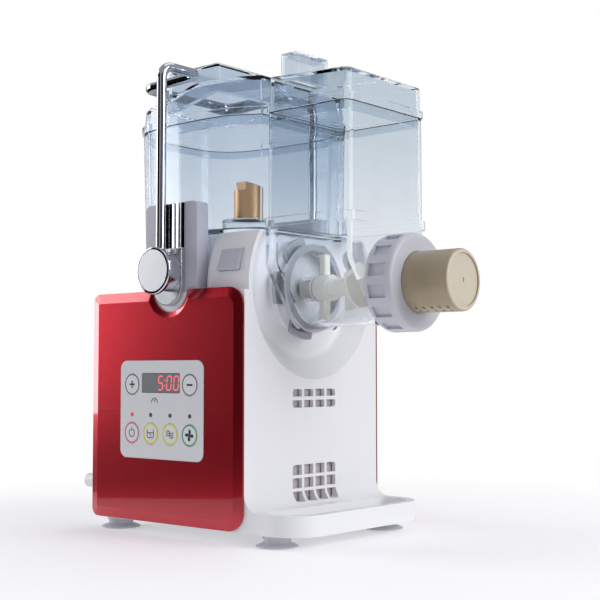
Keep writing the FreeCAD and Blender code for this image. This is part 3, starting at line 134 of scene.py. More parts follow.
# %% Opaque plastics
def plastic(name, colour, roughness, coat=0.0, shade=0.04, wear=0.15, grain_mm=1.2, height_mm=0.004,
            subsurface=0.0):
    """An opaque moulded plastic: colour a little uneven over 40 mm, fine relief, dielectric gloss."""
    material, tree, output = new_material(name)
    place = add_node(tree, "ShaderNodeTexCoord")
    cloudy = add_node(tree, "ShaderNodeTexNoise", values={"Scale": 25.0, "Detail": 3.0},
                      links={"Vector": place.outputs["Object"]})
    ramp = add_node(tree, "ShaderNodeValToRGB", links={"Fac": cloudy.outputs["Fac"]})
    base = linear(colour)
    ramp.color_ramp.elements[0].color = tuple(c * (1 - shade) for c in base[:3]) + (1,)
    ramp.color_ramp.elements[0].position = 0.3
    ramp.color_ramp.elements[1].color = base
    ramp.color_ramp.elements[1].position = 0.7
    rubbed = add_node(tree, "ShaderNodeTexNoise", values={"Scale": 90.0, "Detail": 4.0},
                      links={"Vector": place.outputs["Object"]})
    rough = add_node(tree, "ShaderNodeMapRange",
                     values={"From Min": 0.3, "From Max": 0.7, "To Min": roughness * (1 - wear),
                             "To Max": roughness * (1 + wear)},
                     links={"Value": rubbed.outputs["Fac"]})
    shader = add_node(tree, "ShaderNodeBsdfPrincipled",
                      values={"IOR": 1.52, "Coat Weight": coat, "Coat Roughness": 0.08,
                              "Subsurface Weight": subsurface, "Subsurface Scale": 0.002},
                      links={"Base Color": ramp.outputs["Color"], "Roughness": rough.outputs["Result"],
                             "Normal": moulding_bump(tree, grain_mm, height_mm)})
    tree.links.new(shader.outputs["BSDF"], output.inputs["Surface"])
    return material


white_abs = plastic("moulded_white_abs", "#EEEEF1", 0.34, shade=0.004, wear=0.03, height_mm=0.001)
# Pillars and release button: the white housing plastic painted pale lavender grey, as painted shade on their
# fronts.
grey_painted_shade_abs = plastic("pale_grey_abs_painted_shade", "#C4C4D0", 0.32, shade=0.006, wear=0.05, height_mm=0.002)
nut_white = plastic("moulded_pale_acetal", "#CFD0D9", 0.34, shade=0.015, subsurface=0.05)
stirrer_white = plastic("moulded_white_polypropylene", "#ECEAE4", 0.36, subsurface=0.1)
foot_silicone = plastic("moulded_silicone", "#CDCDD3", 0.42, subsurface=0.25, grain_mm=0.9)
black_plastic = plastic("moulded_black_abs", "#17181A", 0.45)
screen_grey = plastic("grey_dust_gauze", "#BDB3BC", 0.6, grain_mm=0.8, height_mm=0.05)
gear_nylon = plastic("moulded_natural_nylon", "#DDD8CC", 0.42, subsurface=0.1)
board_green = plastic("solder_mask_on_fibreglass", "#1E5B33", 0.35, coat=0.4)
print("opaque plastics ready")

# %% [markdown]
# ## Metallic red lacquer
#
# The panels are painted with a red basecoat that holds aluminium flakes, under a clear coat. The flakes make
# the paint lighter where it faces the light and darker as it turns away, which plain red can't do. Here a
# part-metallic base gives that swing, a cell pattern of 0.5 mm (real flakes are finer, and would not show)
# varies its red slightly, and the coat gives the sharp reflection on top.

# %% Red lacquer
FLAKE_MM = 0.5
red_lacquer, tree, output = new_material("metallic_red_lacquer")
place = add_node(tree, "ShaderNodeTexCoord")
flakes = add_node(tree, "ShaderNodeTexVoronoi", values={"Scale": 1000.0 / FLAKE_MM},
                  links={"Vector": place.outputs["Object"]})
flake_hue = add_node(tree, "ShaderNodeMix", settings={"data_type": "RGBA"},
                     values={"A": linear("#B01524"), "B": linear("#C92A38")},
                     links={"Factor": flakes.outputs["Color"]})
orange_peel = moulding_bump(tree, 2.5, 0.003)
shader = add_node(tree, "ShaderNodeBsdfPrincipled",
                  values={"Metallic": 0.85, "Roughness": 0.27, "Coat Weight": 1.0, "Coat Roughness": 0.04,
                          "Coat IOR": 1.5},
                  links={"Base Color": flake_hue.outputs["Result"], "Normal": orange_peel})
tree.links.new(shader.outputs["BSDF"], output.inputs["Surface"])
print("red lacquer ready")

# %% [markdown]
# ## Chromium plate, steel and bronze
#
# Bright chromium is nearly a mirror: metallic, very low roughness, slightly blue. What makes it look like
# chrome is what it reflects, so the lighting matters more than the nodes. Polishing leaves faint waves, added
# as a wide bump. Satin chromium is the same plate on a blasted base, so it scatters more. Turned bronze has
# fine rings round its axis.

# %% Metals
def metal(name, colour, roughness, grain_mm=3.0, height_mm=0.004, stretch=(1, 1, 1), shade=0.06):
    """A metal whose roughness and colour vary a little, with polishing or turning marks as relief."""
    material, tree, output = new_material(name)
    place = add_node(tree, "ShaderNodeTexCoord")
    cloudy = add_node(tree, "ShaderNodeTexNoise", values={"Scale": 60.0, "Detail": 3.0},
                      links={"Vector": place.outputs["Object"]})
    base = linear(colour)
    darker = tuple(c * (1 - shade) for c in base[:3]) + (1,)
    tint = add_node(tree, "ShaderNodeMix", settings={"data_type": "RGBA"}, values={"A": darker, "B": base},
                    links={"Factor": cloudy.outputs["Fac"]})
    rough = add_node(tree, "ShaderNodeMapRange",
                     values={"From Min": 0.3, "From Max": 0.7, "To Min": roughness * 0.8,
                             "To Max": roughness * 1.2},
                     links={"Value": cloudy.outputs["Fac"]})
    shader = add_node(tree, "ShaderNodeBsdfPrincipled", values={"Metallic": 1.0},
                      links={"Base Color": tint.outputs["Result"], "Roughness": rough.outputs["Result"],
                             "Normal": moulding_bump(tree, grain_mm, height_mm, stretch)})
    tree.links.new(shader.outputs["BSDF"], output.inputs["Surface"])
    return material


chromium = metal("bright_chromium_plate", "#C9CCD1", 0.06, grain_mm=12.0, height_mm=0.01)
satin_chromium = metal("satin_chromium_plate", "#CDD2D8", 0.30, grain_mm=2.0, height_mm=0.002)
zinc_steel = metal("zinc_plated_steel", "#B9BCC0", 0.32, grain_mm=1.0)
bronze = metal("turned_bronze", "#B48A60", 0.33, grain_mm=0.6, height_mm=0.0008, stretch=(0.06, 0.06, 1.0))
copper = metal("varnished_copper_wire", "#A4552C", 0.30, grain_mm=0.7, height_mm=0.05, stretch=(0.1, 1, 1))
print("metals ready")

# %% [markdown]
# ## Knob face
#
# The knob's face is plated like the rest, but its middle was brushed before plating, inside a fine groove,
# and the rim was left bright. The groove is not cut: a thin dark ring in the plate's colour is painted shade
# for it. Distance from the knob's axis separates the three, so the finish stays right when it turns.

# %% Knob face material
knob_low, knob_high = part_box("front_knob")
knob_x = (knob_low.x + knob_high.x) / 2
knob_z = (knob_low.z + knob_high.z) / 2
knob_radius = (knob_high.x - knob_low.x) / 2


def knob_plate(name, outer_y):
    """Chromium brushed inside a groove, whose shade is painted as a dark ring, on the end away from the
    machine.
    """
    material, tree, output = new_material(name)
    place = add_node(tree, "ShaderNodeTexCoord")
    centred = add_node(tree, "ShaderNodeMapping", values={"Location": (-knob_x, 0.0, -knob_z)},
                       links={"Vector": place.outputs["Object"]})
    flat = add_node(tree, "ShaderNodeVectorMath", settings={"operation": "MULTIPLY"},
                    values={1: (1.0, 0.0, 1.0)}, links={0: centred.outputs["Vector"]})
    radius = add_node(tree, "ShaderNodeVectorMath", settings={"operation": "LENGTH"},
                      links={0: flat.outputs["Vector"]})
    inside = add_node(tree, "ShaderNodeMapRange",
                      values={"From Min": knob_radius * 0.87, "From Max": knob_radius * 0.885,
                              "To Min": 1.0, "To Max": 0.0},
                      links={"Value": radius.outputs["Value"]})
    # Painted shade: the groove is a thin dark ring in the colour, not a cut in the face.
    across_groove = add_node(tree, "ShaderNodeMapRange",
                             values={"From Min": knob_radius * 0.875, "From Max": knob_radius * 0.905},
                             links={"Value": radius.outputs["Value"]})
    groove = add_node(tree, "ShaderNodeValToRGB", links={"Fac": across_groove.outputs["Result"]})
    groove.color_ramp.elements[0].color = (0, 0, 0, 1)
    groove.color_ramp.elements[0].position = 0.2
    groove.color_ramp.elements[1].color = (0, 0, 0, 1)
    groove.color_ramp.elements[1].position = 0.8
    groove.color_ramp.elements.new(0.5).color = (1, 1, 1, 1)
    away = add_node(tree, "ShaderNodeSeparateXYZ", links={"Vector": place.outputs["Object"]})
    on_end = add_node(tree, "ShaderNodeMath", settings={"operation": "COMPARE"},
                      values={1: outer_y, 2: 0.4 * MM}, links={0: away.outputs["Y"]})
    brushed = add_node(tree, "ShaderNodeMath", settings={"operation": "MULTIPLY"},
                       links={0: inside.outputs["Result"], 1: on_end.outputs["Value"]})
    groove_painted_shade = add_node(tree, "ShaderNodeMath", settings={"operation": "MULTIPLY"},
                      links={0: groove.outputs["Color"], 1: on_end.outputs["Value"]})
    rough = add_node(tree, "ShaderNodeMapRange", values={"To Min": 0.06, "To Max": 0.42},
                     links={"Value": brushed.outputs["Value"]})
    tone = add_node(tree, "ShaderNodeMix", settings={"data_type": "RGBA"},
                    values={"A": linear("#D9DCE0"), "B": linear("#6E7276")},
                    links={"Factor": groove_painted_shade.outputs["Value"]})
    drawn_out = add_node(tree, "ShaderNodeMapping", values={"Scale": (0.05, 1.0, 1.0)},
                         links={"Vector": place.outputs["Object"]})
    strokes = add_node(tree, "ShaderNodeTexNoise", values={"Scale": 900.0, "Detail": 2.0},
                       links={"Vector": drawn_out.outputs["Vector"]})
    relief = add_node(tree, "ShaderNodeMath", settings={"operation": "MULTIPLY"},
                      links={0: strokes.outputs["Fac"], 1: brushed.outputs["Value"]})
    bump = add_node(tree, "ShaderNodeBump", values={"Strength": 1.0, "Distance": 0.004 * MM},
                    links={"Height": relief.outputs["Value"]})
    shader = add_node(tree, "ShaderNodeBsdfPrincipled", values={"Metallic": 1.0},
                      links={"Base Color": tone.outputs["Result"], "Roughness": rough.outputs["Result"],
                             "Normal": bump.outputs["Normal"]})
    tree.links.new(shader.outputs["BSDF"], output.inputs["Surface"])
    return material


front_knob_plate = knob_plate("brushed_chromium_front", knob_low.y)
rear_knob_plate = knob_plate("brushed_chromium_rear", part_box("rear_knob")[1].y)
print("knob radius mm", round(knob_radius * 1000, 2))

# %% [markdown]
# ## Clear plastic
#
# Bowl, chamber and lids are moulded in SAN, a stiff clear plastic that passes light with a faint smoky blue
# tint. Its walls are real solids 2.5 mm thick. Bent as strongly as in real plastic, light gets trapped in
# such thin walls until the renderer gives up and paints their edges black. So the body bends light only a
# little, and a clear coat on top adds the reflections of real plastic. Rays from lamps pass straight through,
# dimmed by the same tint.

# %% Clear plastics
RIM_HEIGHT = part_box("side_chamber")[1].z
RIM_SHADE_DEPTH = 110 * MM


def clear_plastic(name, low_colour, high_colour, roughness):
    """Smoky transparent moulding, darker towards its rim as painted shade, tinted alike for sight and passing
    light.
    """
    material, tree, output = new_material(name)
    place = add_node(tree, "ShaderNodeTexCoord")
    height = add_node(tree, "ShaderNodeSeparateXYZ", links={"Vector": place.outputs["Object"]})
    # The smoky tint is real; its darkening towards the rim and paling lower down are painted shade and light.
    painted_rim_shade = add_node(tree, "ShaderNodeMapRange",
                     values={"From Min": RIM_HEIGHT - RIM_SHADE_DEPTH, "From Max": RIM_HEIGHT},
                     links={"Value": height.outputs["Z"]})
    tint = add_node(tree, "ShaderNodeMix", settings={"data_type": "RGBA"},
                    values={"A": linear(low_colour), "B": linear(high_colour)},
                    links={"Factor": painted_rim_shade.outputs["Result"]})
    glass = add_node(tree, "ShaderNodeBsdfPrincipled",
                     values={"Roughness": roughness, "IOR": 1.14, "Transmission Weight": 1.0,
                             "Coat Weight": 0.6, "Coat Roughness": 0.02, "Coat IOR": 1.5},
                     links={"Base Color": tint.outputs["Result"], "Normal": moulding_bump(tree, 14.0, 0.03)})
    passing = add_node(tree, "ShaderNodeBsdfTransparent", links={"Color": tint.outputs["Result"]})
    ray = add_node(tree, "ShaderNodeLightPath")
    mixed = add_node(tree, "ShaderNodeMixShader",
                     links={0: ray.outputs["Is Shadow Ray"], 1: glass.outputs["BSDF"],
                            2: passing.outputs["BSDF"]})
    tree.links.new(mixed.outputs["Shader"], output.inputs["Surface"])
    return material


smoky_san = clear_plastic("smoky_clear_san", "#F1F4F7", "#D6DFE9", 0.015)
bowl_san = clear_plastic("clear_san", "#F6F8FA", "#DFE6EC", 0.01)
print("clear plastics ready")

# %% [markdown]
# ## Die cap
#
# The cap is polypropylene with a pearl pigment: light enters it and scatters, so it looks warm and slightly
# translucent, with no sharp shadow on its shaded side. Subsurface scattering over a few millimetres gives
# that. Its end, which faces the right-hand lamp, is painted paler as painted light; how far a face turns
# towards the end says where.

# %% Die cap material
die_pearl, tree, output = new_material("pearl_polypropylene")
place = add_node(tree, "ShaderNodeTexCoord")
flow = add_node(tree, "ShaderNodeTexNoise", values={"Scale": 40.0, "Detail": 4.0},
                links={"Vector": place.outputs["Object"]})
sides = add_node(tree, "ShaderNodeMix", settings={"data_type": "RGBA"},
                 values={"A": linear("#A99A80"), "B": linear("#B7A98F")},
                 links={"Factor": flow.outputs["Fac"]})
facing = add_node(tree, "ShaderNodeSeparateXYZ", links={"Vector": place.outputs["Normal"]})
# Painted light: faces turned towards +X, where the right-hand lamp falls, get the paler colour.
painted_end_light = add_node(tree, "ShaderNodeMapRange", values={"From Min": 0.6, "From Max": 0.95},
                    links={"Value": facing.outputs["X"]})
pearl = add_node(tree, "ShaderNodeMix", settings={"data_type": "RGBA"}, values={"B": linear("#DAD0BC")},
                 links={"A": sides.outputs["Result"], "Factor": painted_end_light.outputs["Result"]})
shader = add_node(tree, "ShaderNodeBsdfPrincipled",
                  values={"Roughness": 0.30, "IOR": 1.49, "Subsurface Weight": 0.3,
                          "Subsurface Scale": 0.003},
                  links={"Base Color": pearl.outputs["Result"], "Normal": moulding_bump(tree, 1.0, 0.006)})
tree.links.new(shader.outputs["BSDF"], output.inputs["Surface"])
print("die cap ready")

# %% [markdown]
# ## Control film, window and lamps
#
# The controls lie under a printed polyester film with a matt grain. The display's window is the same film
# with a grey tint and a smoother face, so it is glossier. Lamps are small lenses; the lit one glows.

# %% Films and lamps
FILM_GRAIN_MM = 0.4


def film(name, colour, roughness, glow=0.0, coat=0.0):
    """Printed film or ink: even colour, a fine grain, and light of its own where it is lit from behind."""
    material, tree, output = new_material(name)
    place = add_node(tree, "ShaderNodeTexCoord")
    speck = add_node(tree, "ShaderNodeTexNoise", values={"Scale": 1000.0 / FILM_GRAIN_MM, "Detail": 1.0},
                     links={"Vector": place.outputs["Object"]})
    base = linear(colour)
    darker = tuple(c * 0.95 for c in base[:3]) + (1,)
    tone = add_node(tree, "ShaderNodeMix", settings={"data_type": "RGBA"}, values={"A": darker, "B": base},
                    links={"Factor": speck.outputs["Fac"]})
    shader = add_node(tree, "ShaderNodeBsdfPrincipled",
                      values={"Roughness": roughness, "IOR": 1.5, "Coat Weight": coat, "Coat Roughness": 0.05,
                              "Emission Color": base, "Emission Strength": glow},
                      links={"Base Color": tone.outputs["Result"],
                             "Normal": moulding_bump(tree, FILM_GRAIN_MM, 0.004)})
    tree.links.new(shader.outputs["BSDF"], output.inputs["Surface"])
    return material


fascia_film = film("matt_polyester_film", "#DCDEE0", 0.48)
key_film = film("embossed_polyester_film", "#E0E2E4", 0.45)
window_film = film("tinted_polyester_window", "#7E8084", 0.22, coat=0.3)
black_ink = film("black_screen_ink", "#1B1C1E", 0.5)
red_ink = film("red_screen_ink", "#E2504A", 0.5)
yellow_ink = film("yellow_screen_ink", "#E8E05A", 0.5)
green_ink = film("green_screen_ink", "#22A06B", 0.5)
lit_segment = film("lit_red_segment", "#F4646C", 0.4, glow=0.6)
lit_lamp = film("lit_red_lamp", "#D2303A", 0.3, glow=0.35)
dark_lamp = film("dark_lamp", "#4A4B4F", 0.3)
print("films ready")

# %% [markdown]
# ## Dress the CAD pieces
#
# Each CAD piece already has its right shape. It only needs its finish, one material for the whole piece, as
# it would be moulded, plated or painted in one go.

# %% Give every CAD piece its finish
finishes = {
    white_abs: ["lock_ring", "housing", "base_plate", "cord_gland"],
    grey_painted_shade_abs: ["front_pillar", "rear_pillar", "release_button"],
    nut_white: ["die_nut"],
    stirrer_white: ["auger", "paddle"],
    foot_silicone: ["foot_front_left", "foot_front_right", "foot_rear_left", "foot_rear_right", "bowl_seal",
                    "die_seal"],
    black_plastic: ["display_module", "key_switches", "cooling_fan"],
    gear_nylon: ["output_gear", "idler_gear"],
    board_green: ["control_board", "power_supply"],
    red_lacquer: ["front_panel", "rear_panel"],
    chromium: ["bail_rod", "front_strip", "rear_strip"],
    satin_chromium: ["front_knob_base", "rear_knob_base"],
    front_knob_plate: ["front_knob"],
    rear_knob_plate: ["rear_knob"],
    zinc_steel: ["lock_wedges", "lock_ring_screws", "base_screws", "drive_shaft", "idler_pin",
                 "shaft_bearings", "gearbox_frame", "motor_can", "motor_shaft", "motor_pinion"],
    copper: ["motor_stator", "motor_rotor"],
    bronze: ["bronze_post"],
    smoky_san: ["side_chamber", "side_cover"],
    bowl_san: ["mixing_bowl", "bowl_lid"],
    die_pearl: ["die_cap"],
    fascia_film: ["fascia"],
    key_film: ["key_plus", "key_minus", "key_power", "key_mix", "key_extrude", "key_fan"],
    window_film: ["display_window"],
    lit_lamp: ["led_power"],
    dark_lamp: ["led_lenses"],
}
for material, names in finishes.items():
    for name in names:
        nodes[name].data.materials.clear()
        nodes[name].data.materials.append(material)
dressed = {name for names in finishes.values() for name in names}
print("pieces without a finish:", sorted(set(nodes) - dressed))

# %% [markdown]
# ## Smooth shading where a surface is curved
#
# CAD hands over triangles. Faces that meet at a small angle belong to one curved surface and are shaded
# smoothly, and faces that meet at a larger angle keep their crisp edge.

# %% Smooth curved faces
for node in nodes.values():
    node.data.shade_smooth()
    node.data.set_sharp_from_angle(angle=math.radians(28))
print("shaded", len(nodes), "pieces")

# %% [markdown]
# ## A helper for new pieces
#
# New pieces start as a bmesh, Blender's editable mesh. This helper turns one into an object, gives it a
# finish, and fastens it to the machine body that it moves with.

# %% New piece helper
def new_piece(name, bm, material, body, smooth=True):
    """Finishes a bmesh as an object that rides on a body; its place stays in its mesh."""
    bmesh.ops.remove_doubles(bm, verts=bm.verts, dist=1e-7)
    bmesh.ops.recalc_face_normals(bm, faces=bm.faces)
    mesh = bpy.data.meshes.new(name)
    bm.to_mesh(mesh)
    bm.free()
    if smooth:
        mesh.shade_smooth()
        mesh.set_sharp_from_angle(angle=math.radians(30))
    mesh.materials.append(material)
    piece = bpy.data.objects.new(name, mesh)
    bpy.context.scene.collection.objects.link(piece)
    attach(piece, body)
    print(name, "has", len(mesh.polygons), "faces")
    return piece


INK_THICK = 0.14 * MM


def ink_bar(bm, x, z, length, width, turn=0.0, face=0.0):
    """A flat printed bar on the front, centred at x, z, turned in the plane of the front."""
    place = Matrix.Translation((x, face, z)) @ Matrix.Rotation(math.radians(turn), 4, "Y")
    bmesh.ops.create_cube(bm, size=1.0, matrix=place @ Matrix.Diagonal((length, INK_THICK, width, 1.0)))


def ink_arc(bm, x, z, radius, width, start=0.0, sweep=360.0, face=0.0, steps=48):
    """A flat printed ring or arc: a small rectangle spun round its centre."""
    half = INK_THICK / 2
    inner, outer = radius - width / 2, radius + width / 2
    section = [(inner, -half), (outer, -half), (outer, half), (inner, half)]
    turn = Matrix.Rotation(-math.radians(start), 3, "Y")
    verts = [bm.verts.new(Vector((x, face, z)) + turn @ Vector((r, y, 0.0))) for r, y in section]
    edges = [bm.edges.new((verts[i], verts[(i + 1) % 4])) for i in range(4)]
    whole = sweep >= 360.0
    bmesh.ops.spin(bm, geom=verts + edges, cent=(x, face, z), axis=(0, -1, 0), angle=math.radians(sweep),
                   steps=steps, use_merge=whole, use_duplicate=False)
    if not whole:
        loose = [edge for edge in bm.edges if edge.is_boundary]
        bmesh.ops.holes_fill(bm, edges=loose, sides=4)


print("piece helpers ready")

# %% [markdown]
# ## Printed keys
#
# Each key carries a printed ring and a sign. Real ink is thinner than a hair; here it is 0.14 mm thick,
# centred on the key's face, so that it shows as a clean edge. Bars are flattened cubes and rings are a small
# rectangle spun round the key. They ride on their own key, and go in with it when it is pressed.

# %% Key rings
KEY_RING_R = 7.1 * MM
INK_STEP = 0.01 * MM


def key_middle(name):
    """The middle of a key's face in x and z, and the y of that face."""
    low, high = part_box(name)
    return (low.x + high.x) / 2, (low.z + high.z) / 2, low.y


def print_ring(name, ink, width):
    """The coloured ring round one key, whose outer edge has the same size on every key."""
    x, z, face = key_middle(name)
    bm = bmesh.new()
    ink_arc(bm, x, z, KEY_RING_R - width / 2, width, face=face)
    new_piece(name + "_ring", bm, ink, name + "_body")


print_ring("key_plus", black_ink, 0.55 * MM)
print_ring("key_minus", black_ink, 0.55 * MM)
print_ring("key_power", red_ink, 0.75 * MM)
print_ring("key_mix", yellow_ink, 1.2 * MM)
print_ring("key_extrude", yellow_ink, 1.2 * MM)
print_ring("key_fan", green_ink, 0.85 * MM)

# %% [markdown]
# ## Signs on the keys
#
# The signs are plain ones: plus, minus, power, a bowl with a spoon, three waves for the strands and a
# four-bladed fan. Where two strokes of one sign cross, the second lies a hundredth of a millimetre further
# out, because two faces at the very same depth flicker.

# %% Plus, minus and power
x, z, face = key_middle("key_plus")
bm = bmesh.new()
ink_bar(bm, x, z, 5.2 * MM, 1.1 * MM, face=face)
ink_bar(bm, x, z, 5.2 * MM, 1.1 * MM, turn=90, face=face - INK_STEP)
new_piece("key_plus_sign", bm, black_ink, "key_plus_body", smooth=False)

x, z, face = key_middle("key_minus")
bm = bmesh.new()
ink_bar(bm, x, z, 5.6 * MM, 1.3 * MM, face=face)
new_piece("key_minus_sign", bm, black_ink, "key_minus_body", smooth=False)

x, z, face = key_middle("key_power")
bm = bmesh.new()
ink_arc(bm, x, z, 2.7 * MM, 0.6 * MM, start=115, sweep=310, face=face)
ink_bar(bm, x, z + 2.4 * MM, 0.6 * MM, 2.6 * MM, face=face - INK_STEP)
new_piece("key_power_sign", bm, black_ink, "key_power_body")

# %% Bowl, waves and fan
x, z, face = key_middle("key_mix")
bm = bmesh.new()
for side, start in ((-1, 180), (1, 270)):
    ink_bar(bm, x + side * 3.2 * MM, z + 0.6 * MM, 0.55 * MM, 4.4 * MM, face=face)
    ink_arc(bm, x + side * 2.0 * MM, z - 1.6 * MM, 1.2 * MM, 0.55 * MM, start=start, sweep=90,
            face=face, steps=8)
ink_bar(bm, x, z - 2.8 * MM, 4.0 * MM, 0.55 * MM, face=face - INK_STEP)
ink_bar(bm, x, z + 0.6 * MM, 6.2 * MM, 0.5 * MM, face=face - INK_STEP)
ink_bar(bm, x, z - 0.6 * MM, 2.6 * MM, 0.5 * MM, turn=45, face=face - 2 * INK_STEP)
new_piece("key_mix_sign", bm, black_ink, "key_mix_body")

x, z, face = key_middle("key_extrude")
bm = bmesh.new()
for row in (-1.5, 0.0, 1.5):
    ink_arc(bm, x - 1.7 * MM, z + (row - 1.0) * MM, 2.0 * MM, 0.55 * MM, start=30, sweep=120,
            face=face, steps=12)
    ink_arc(bm, x + 1.7 * MM, z + (row + 1.0) * MM, 2.0 * MM, 0.55 * MM, start=210, sweep=120,
            face=face - INK_STEP, steps=12)
new_piece("key_extrude_sign", bm, black_ink, "key_extrude_body")

x, z, face = key_middle("key_fan")
bm = bmesh.new()
oval = Matrix.Diagonal((1.15 * MM, 1.0, 1.75 * MM, 1.0)) @ Matrix.Rotation(math.pi / 2, 4, "X")
for turn in (0, 90, 180, 270):
    out = Matrix.Rotation(math.radians(turn), 4, "Y")
    lobe = Matrix.Translation((x, face, z)) @ out @ Matrix.Translation((0.25 * MM, 0, 2.3 * MM))
    bmesh.ops.create_cone(bm, cap_ends=True, segments=24, radius1=1.0, radius2=1.0, depth=INK_THICK,
                          matrix=lobe @ oval)
ink_bar(bm, x, z, 1.6 * MM, 1.6 * MM, turn=45, face=face - INK_STEP)
new_piece("key_fan_sign", bm, black_ink, "key_fan_body")

# %% [markdown]
# ## Display
#
# A seven-segment display shows the minutes. Each lit segment is a flat bar, a little slanted as such digits
# are. The window lies in front of them on the real machine; here the segments lie on its face, where the eye
# sees them.

# %% Lit digits
window_low, window_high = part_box("display_window")
digit_high = (window_high.z - window_low.z) * 0.70
digit_wide = digit_high * 0.46
stroke = digit_high * 0.11
SLANT = 0.10
SEGMENTS = {"5": "afgcd", "0": "abcdef"}


def digit(bm, figure, x, z):
    """Bars of one figure; a is the top, then clockwise to f, and g is the middle."""
    half, quarter = digit_high / 2, digit_high / 4
    face = window_low.y
    right = digit_wide / 2
    places = {"a": (0, half, 0), "b": (right, quarter, 90), "c": (right, -quarter, 90), "d": (0, -half, 0),
              "e": (-right, -quarter, 90), "f": (-right, quarter, 90), "g": (0, 0, 0)}
    for segment in SEGMENTS[figure]:
        dx, dz, turn = places[segment]
        length = (half if turn else digit_wide) - stroke * 0.7
        ink_bar(bm, x + dx, z + dz, length, stroke, turn=turn, face=face)


bm = bmesh.new()
middle_z = (window_low.z + window_high.z) / 2
last_x = window_high.x - digit_wide * 0.80
for place_from_right, figure in ((0.0, "0"), (1.62, "0"), (3.6, "5")):
    digit(bm, figure, last_x - place_from_right * digit_wide, middle_z)
for dz in (-1, 1):
    ink_bar(bm, last_x - 2.62 * digit_wide, middle_z + dz * digit_high * 0.2, stroke, stroke,
            face=window_low.y)
for vert in bm.verts:
    vert.co.x += (vert.co.z - middle_z) * SLANT
new_piece("display_digits", bm, lit_segment, "machine", smooth=False)

# %% [markdown]
# ## Timer sign
#
# A small printed dial under the window says that its figures are a time. It is the same ink as on the keys:
# half a ring, a hand and three marks.

# %% Timer sign
fascia_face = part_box("fascia")[0].y
sign_x = (window_low.x + window_high.x) / 2 - 6.0 * MM
sign_z = window_low.z - 6.6 * MM
bm = bmesh.new()
ink_arc(bm, sign_x, sign_z, 2.9 * MM, 0.5 * MM, start=-10, sweep=200, face=fascia_face, steps=24)
ink_bar(bm, sign_x, sign_z + 1.0 * MM, 0.45 * MM, 2.2 * MM, face=fascia_face)
for turn in (45, 90, 135):
    angle = math.radians(turn)
    ink_bar(bm, sign_x + 2.1 * MM * math.cos(angle), sign_z + 2.1 * MM * math.sin(angle), 0.35 * MM, 0.9 * MM,
            turn=90 - turn, face=fascia_face - INK_STEP)
new_piece("timer_sign", bm, black_ink, "machine")

# %% [markdown]
# ## Plated strips
#
# The strip on each pillar is a pressed profile, not a flat plate: two broad bands with a hollow between them.
# Each face then mirrors another part of the room, which is why such a strip looks striped. A short outline is
# pushed along the strip's length, and the long edges are bevelled.

# %% Profiled strips
def profiled_strip(node, toward):
    """Stands for a CAD strip: its outline across the pillar, pushed upwards."""
    low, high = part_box(node)
    face = low.y if toward < 0 else high.y
    back = high.y if toward < 0 else low.y
    width = high.x - low.x
    depth = 0.75 * MM * -toward
    across = [(0.0, 0.0), (0.36, 0.0), (0.42, depth), (0.55, depth), (0.60, 0.0), (0.68, depth * 0.55),
              (0.76, 0.0), (1.0, 0.0)]
    bm = bmesh.new()
    outline = [bm.verts.new((low.x + t * width, face + dip, low.z)) for t, dip in across]
    outline += [bm.verts.new((high.x, back, low.z)), bm.verts.new((low.x, back, low.z))]
    floor_face = bm.faces.new(outline)
    grown = bmesh.ops.extrude_face_region(bm, geom=[floor_face])["geom"]
    top = [v for v in grown if isinstance(v, bmesh.types.BMVert)]
    bmesh.ops.translate(bm, verts=top, vec=(0, 0, high.z - low.z))
    upright = [e for e in bm.edges if abs(e.verts[0].co.z - e.verts[1].co.z) > 1 * MM]
    long_edges = [e for e in upright if abs(e.verts[0].co.y - back) > 0.1 * MM]
    bmesh.ops.bevel(bm, geom=long_edges, offset=0.22 * MM, segments=2, profile=0.5, affect="EDGES",
                    material=-1)
    piece = new_piece(node + "_profile", bm, chromium, "machine")
    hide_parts(node)


profiled_strip("front_strip", -1)
profiled_strip("rear_strip", 1)

# %% [markdown]
# ## Behind the vents
#
# Through the vents one would see the inside of the machine. What lies behind them is a guess: a grey gauze,
# which would keep flour out of the motor. Its mesh would be too fine to show, so each one is a thin bevelled
# plate with a coarser grain.

# %% Dust screens
SCREEN_THICK = 1.0 * MM
SCREEN_WIDE = 52.0 * MM
SCREEN_BACK = 4.2 * MM
drive_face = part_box("front_panel")[1].x
for name, low_z, high_z in (("lower_dust_screen", 21.0 * MM, 51.0 * MM),
                            ("upper_dust_screen", 84.5 * MM, 101.5 * MM)):
    bm = bmesh.new()
    place = Matrix.Translation((drive_face - SCREEN_BACK, 0.0, (low_z + high_z) / 2))
    size = Matrix.Diagonal((SCREEN_THICK, SCREEN_WIDE, high_z - low_z, 1.0))
    bmesh.ops.create_cube(bm, size=1.0, matrix=place @ size)
    bmesh.ops.bevel(bm, geom=bm.edges[:], offset=0.3 * MM, segments=2, profile=0.5, affect="EDGES",
                    material=-1)
    new_piece(name, bm, screen_grey, "machine")

# %% [markdown]
# ## Table and room
#
# The machine stands on a white table that runs out into a white room with no line between the two. Near the
# machine the table is ordinary matt laminate with a faint glow, so it can hold a soft shadow; farther out it
# glows as brightly as the room.
#
# The room looks white straight on and through the clear pieces, but lights the machine with only about half
# of that. The lamps then decide which sides are bright, as black flags do in a studio.

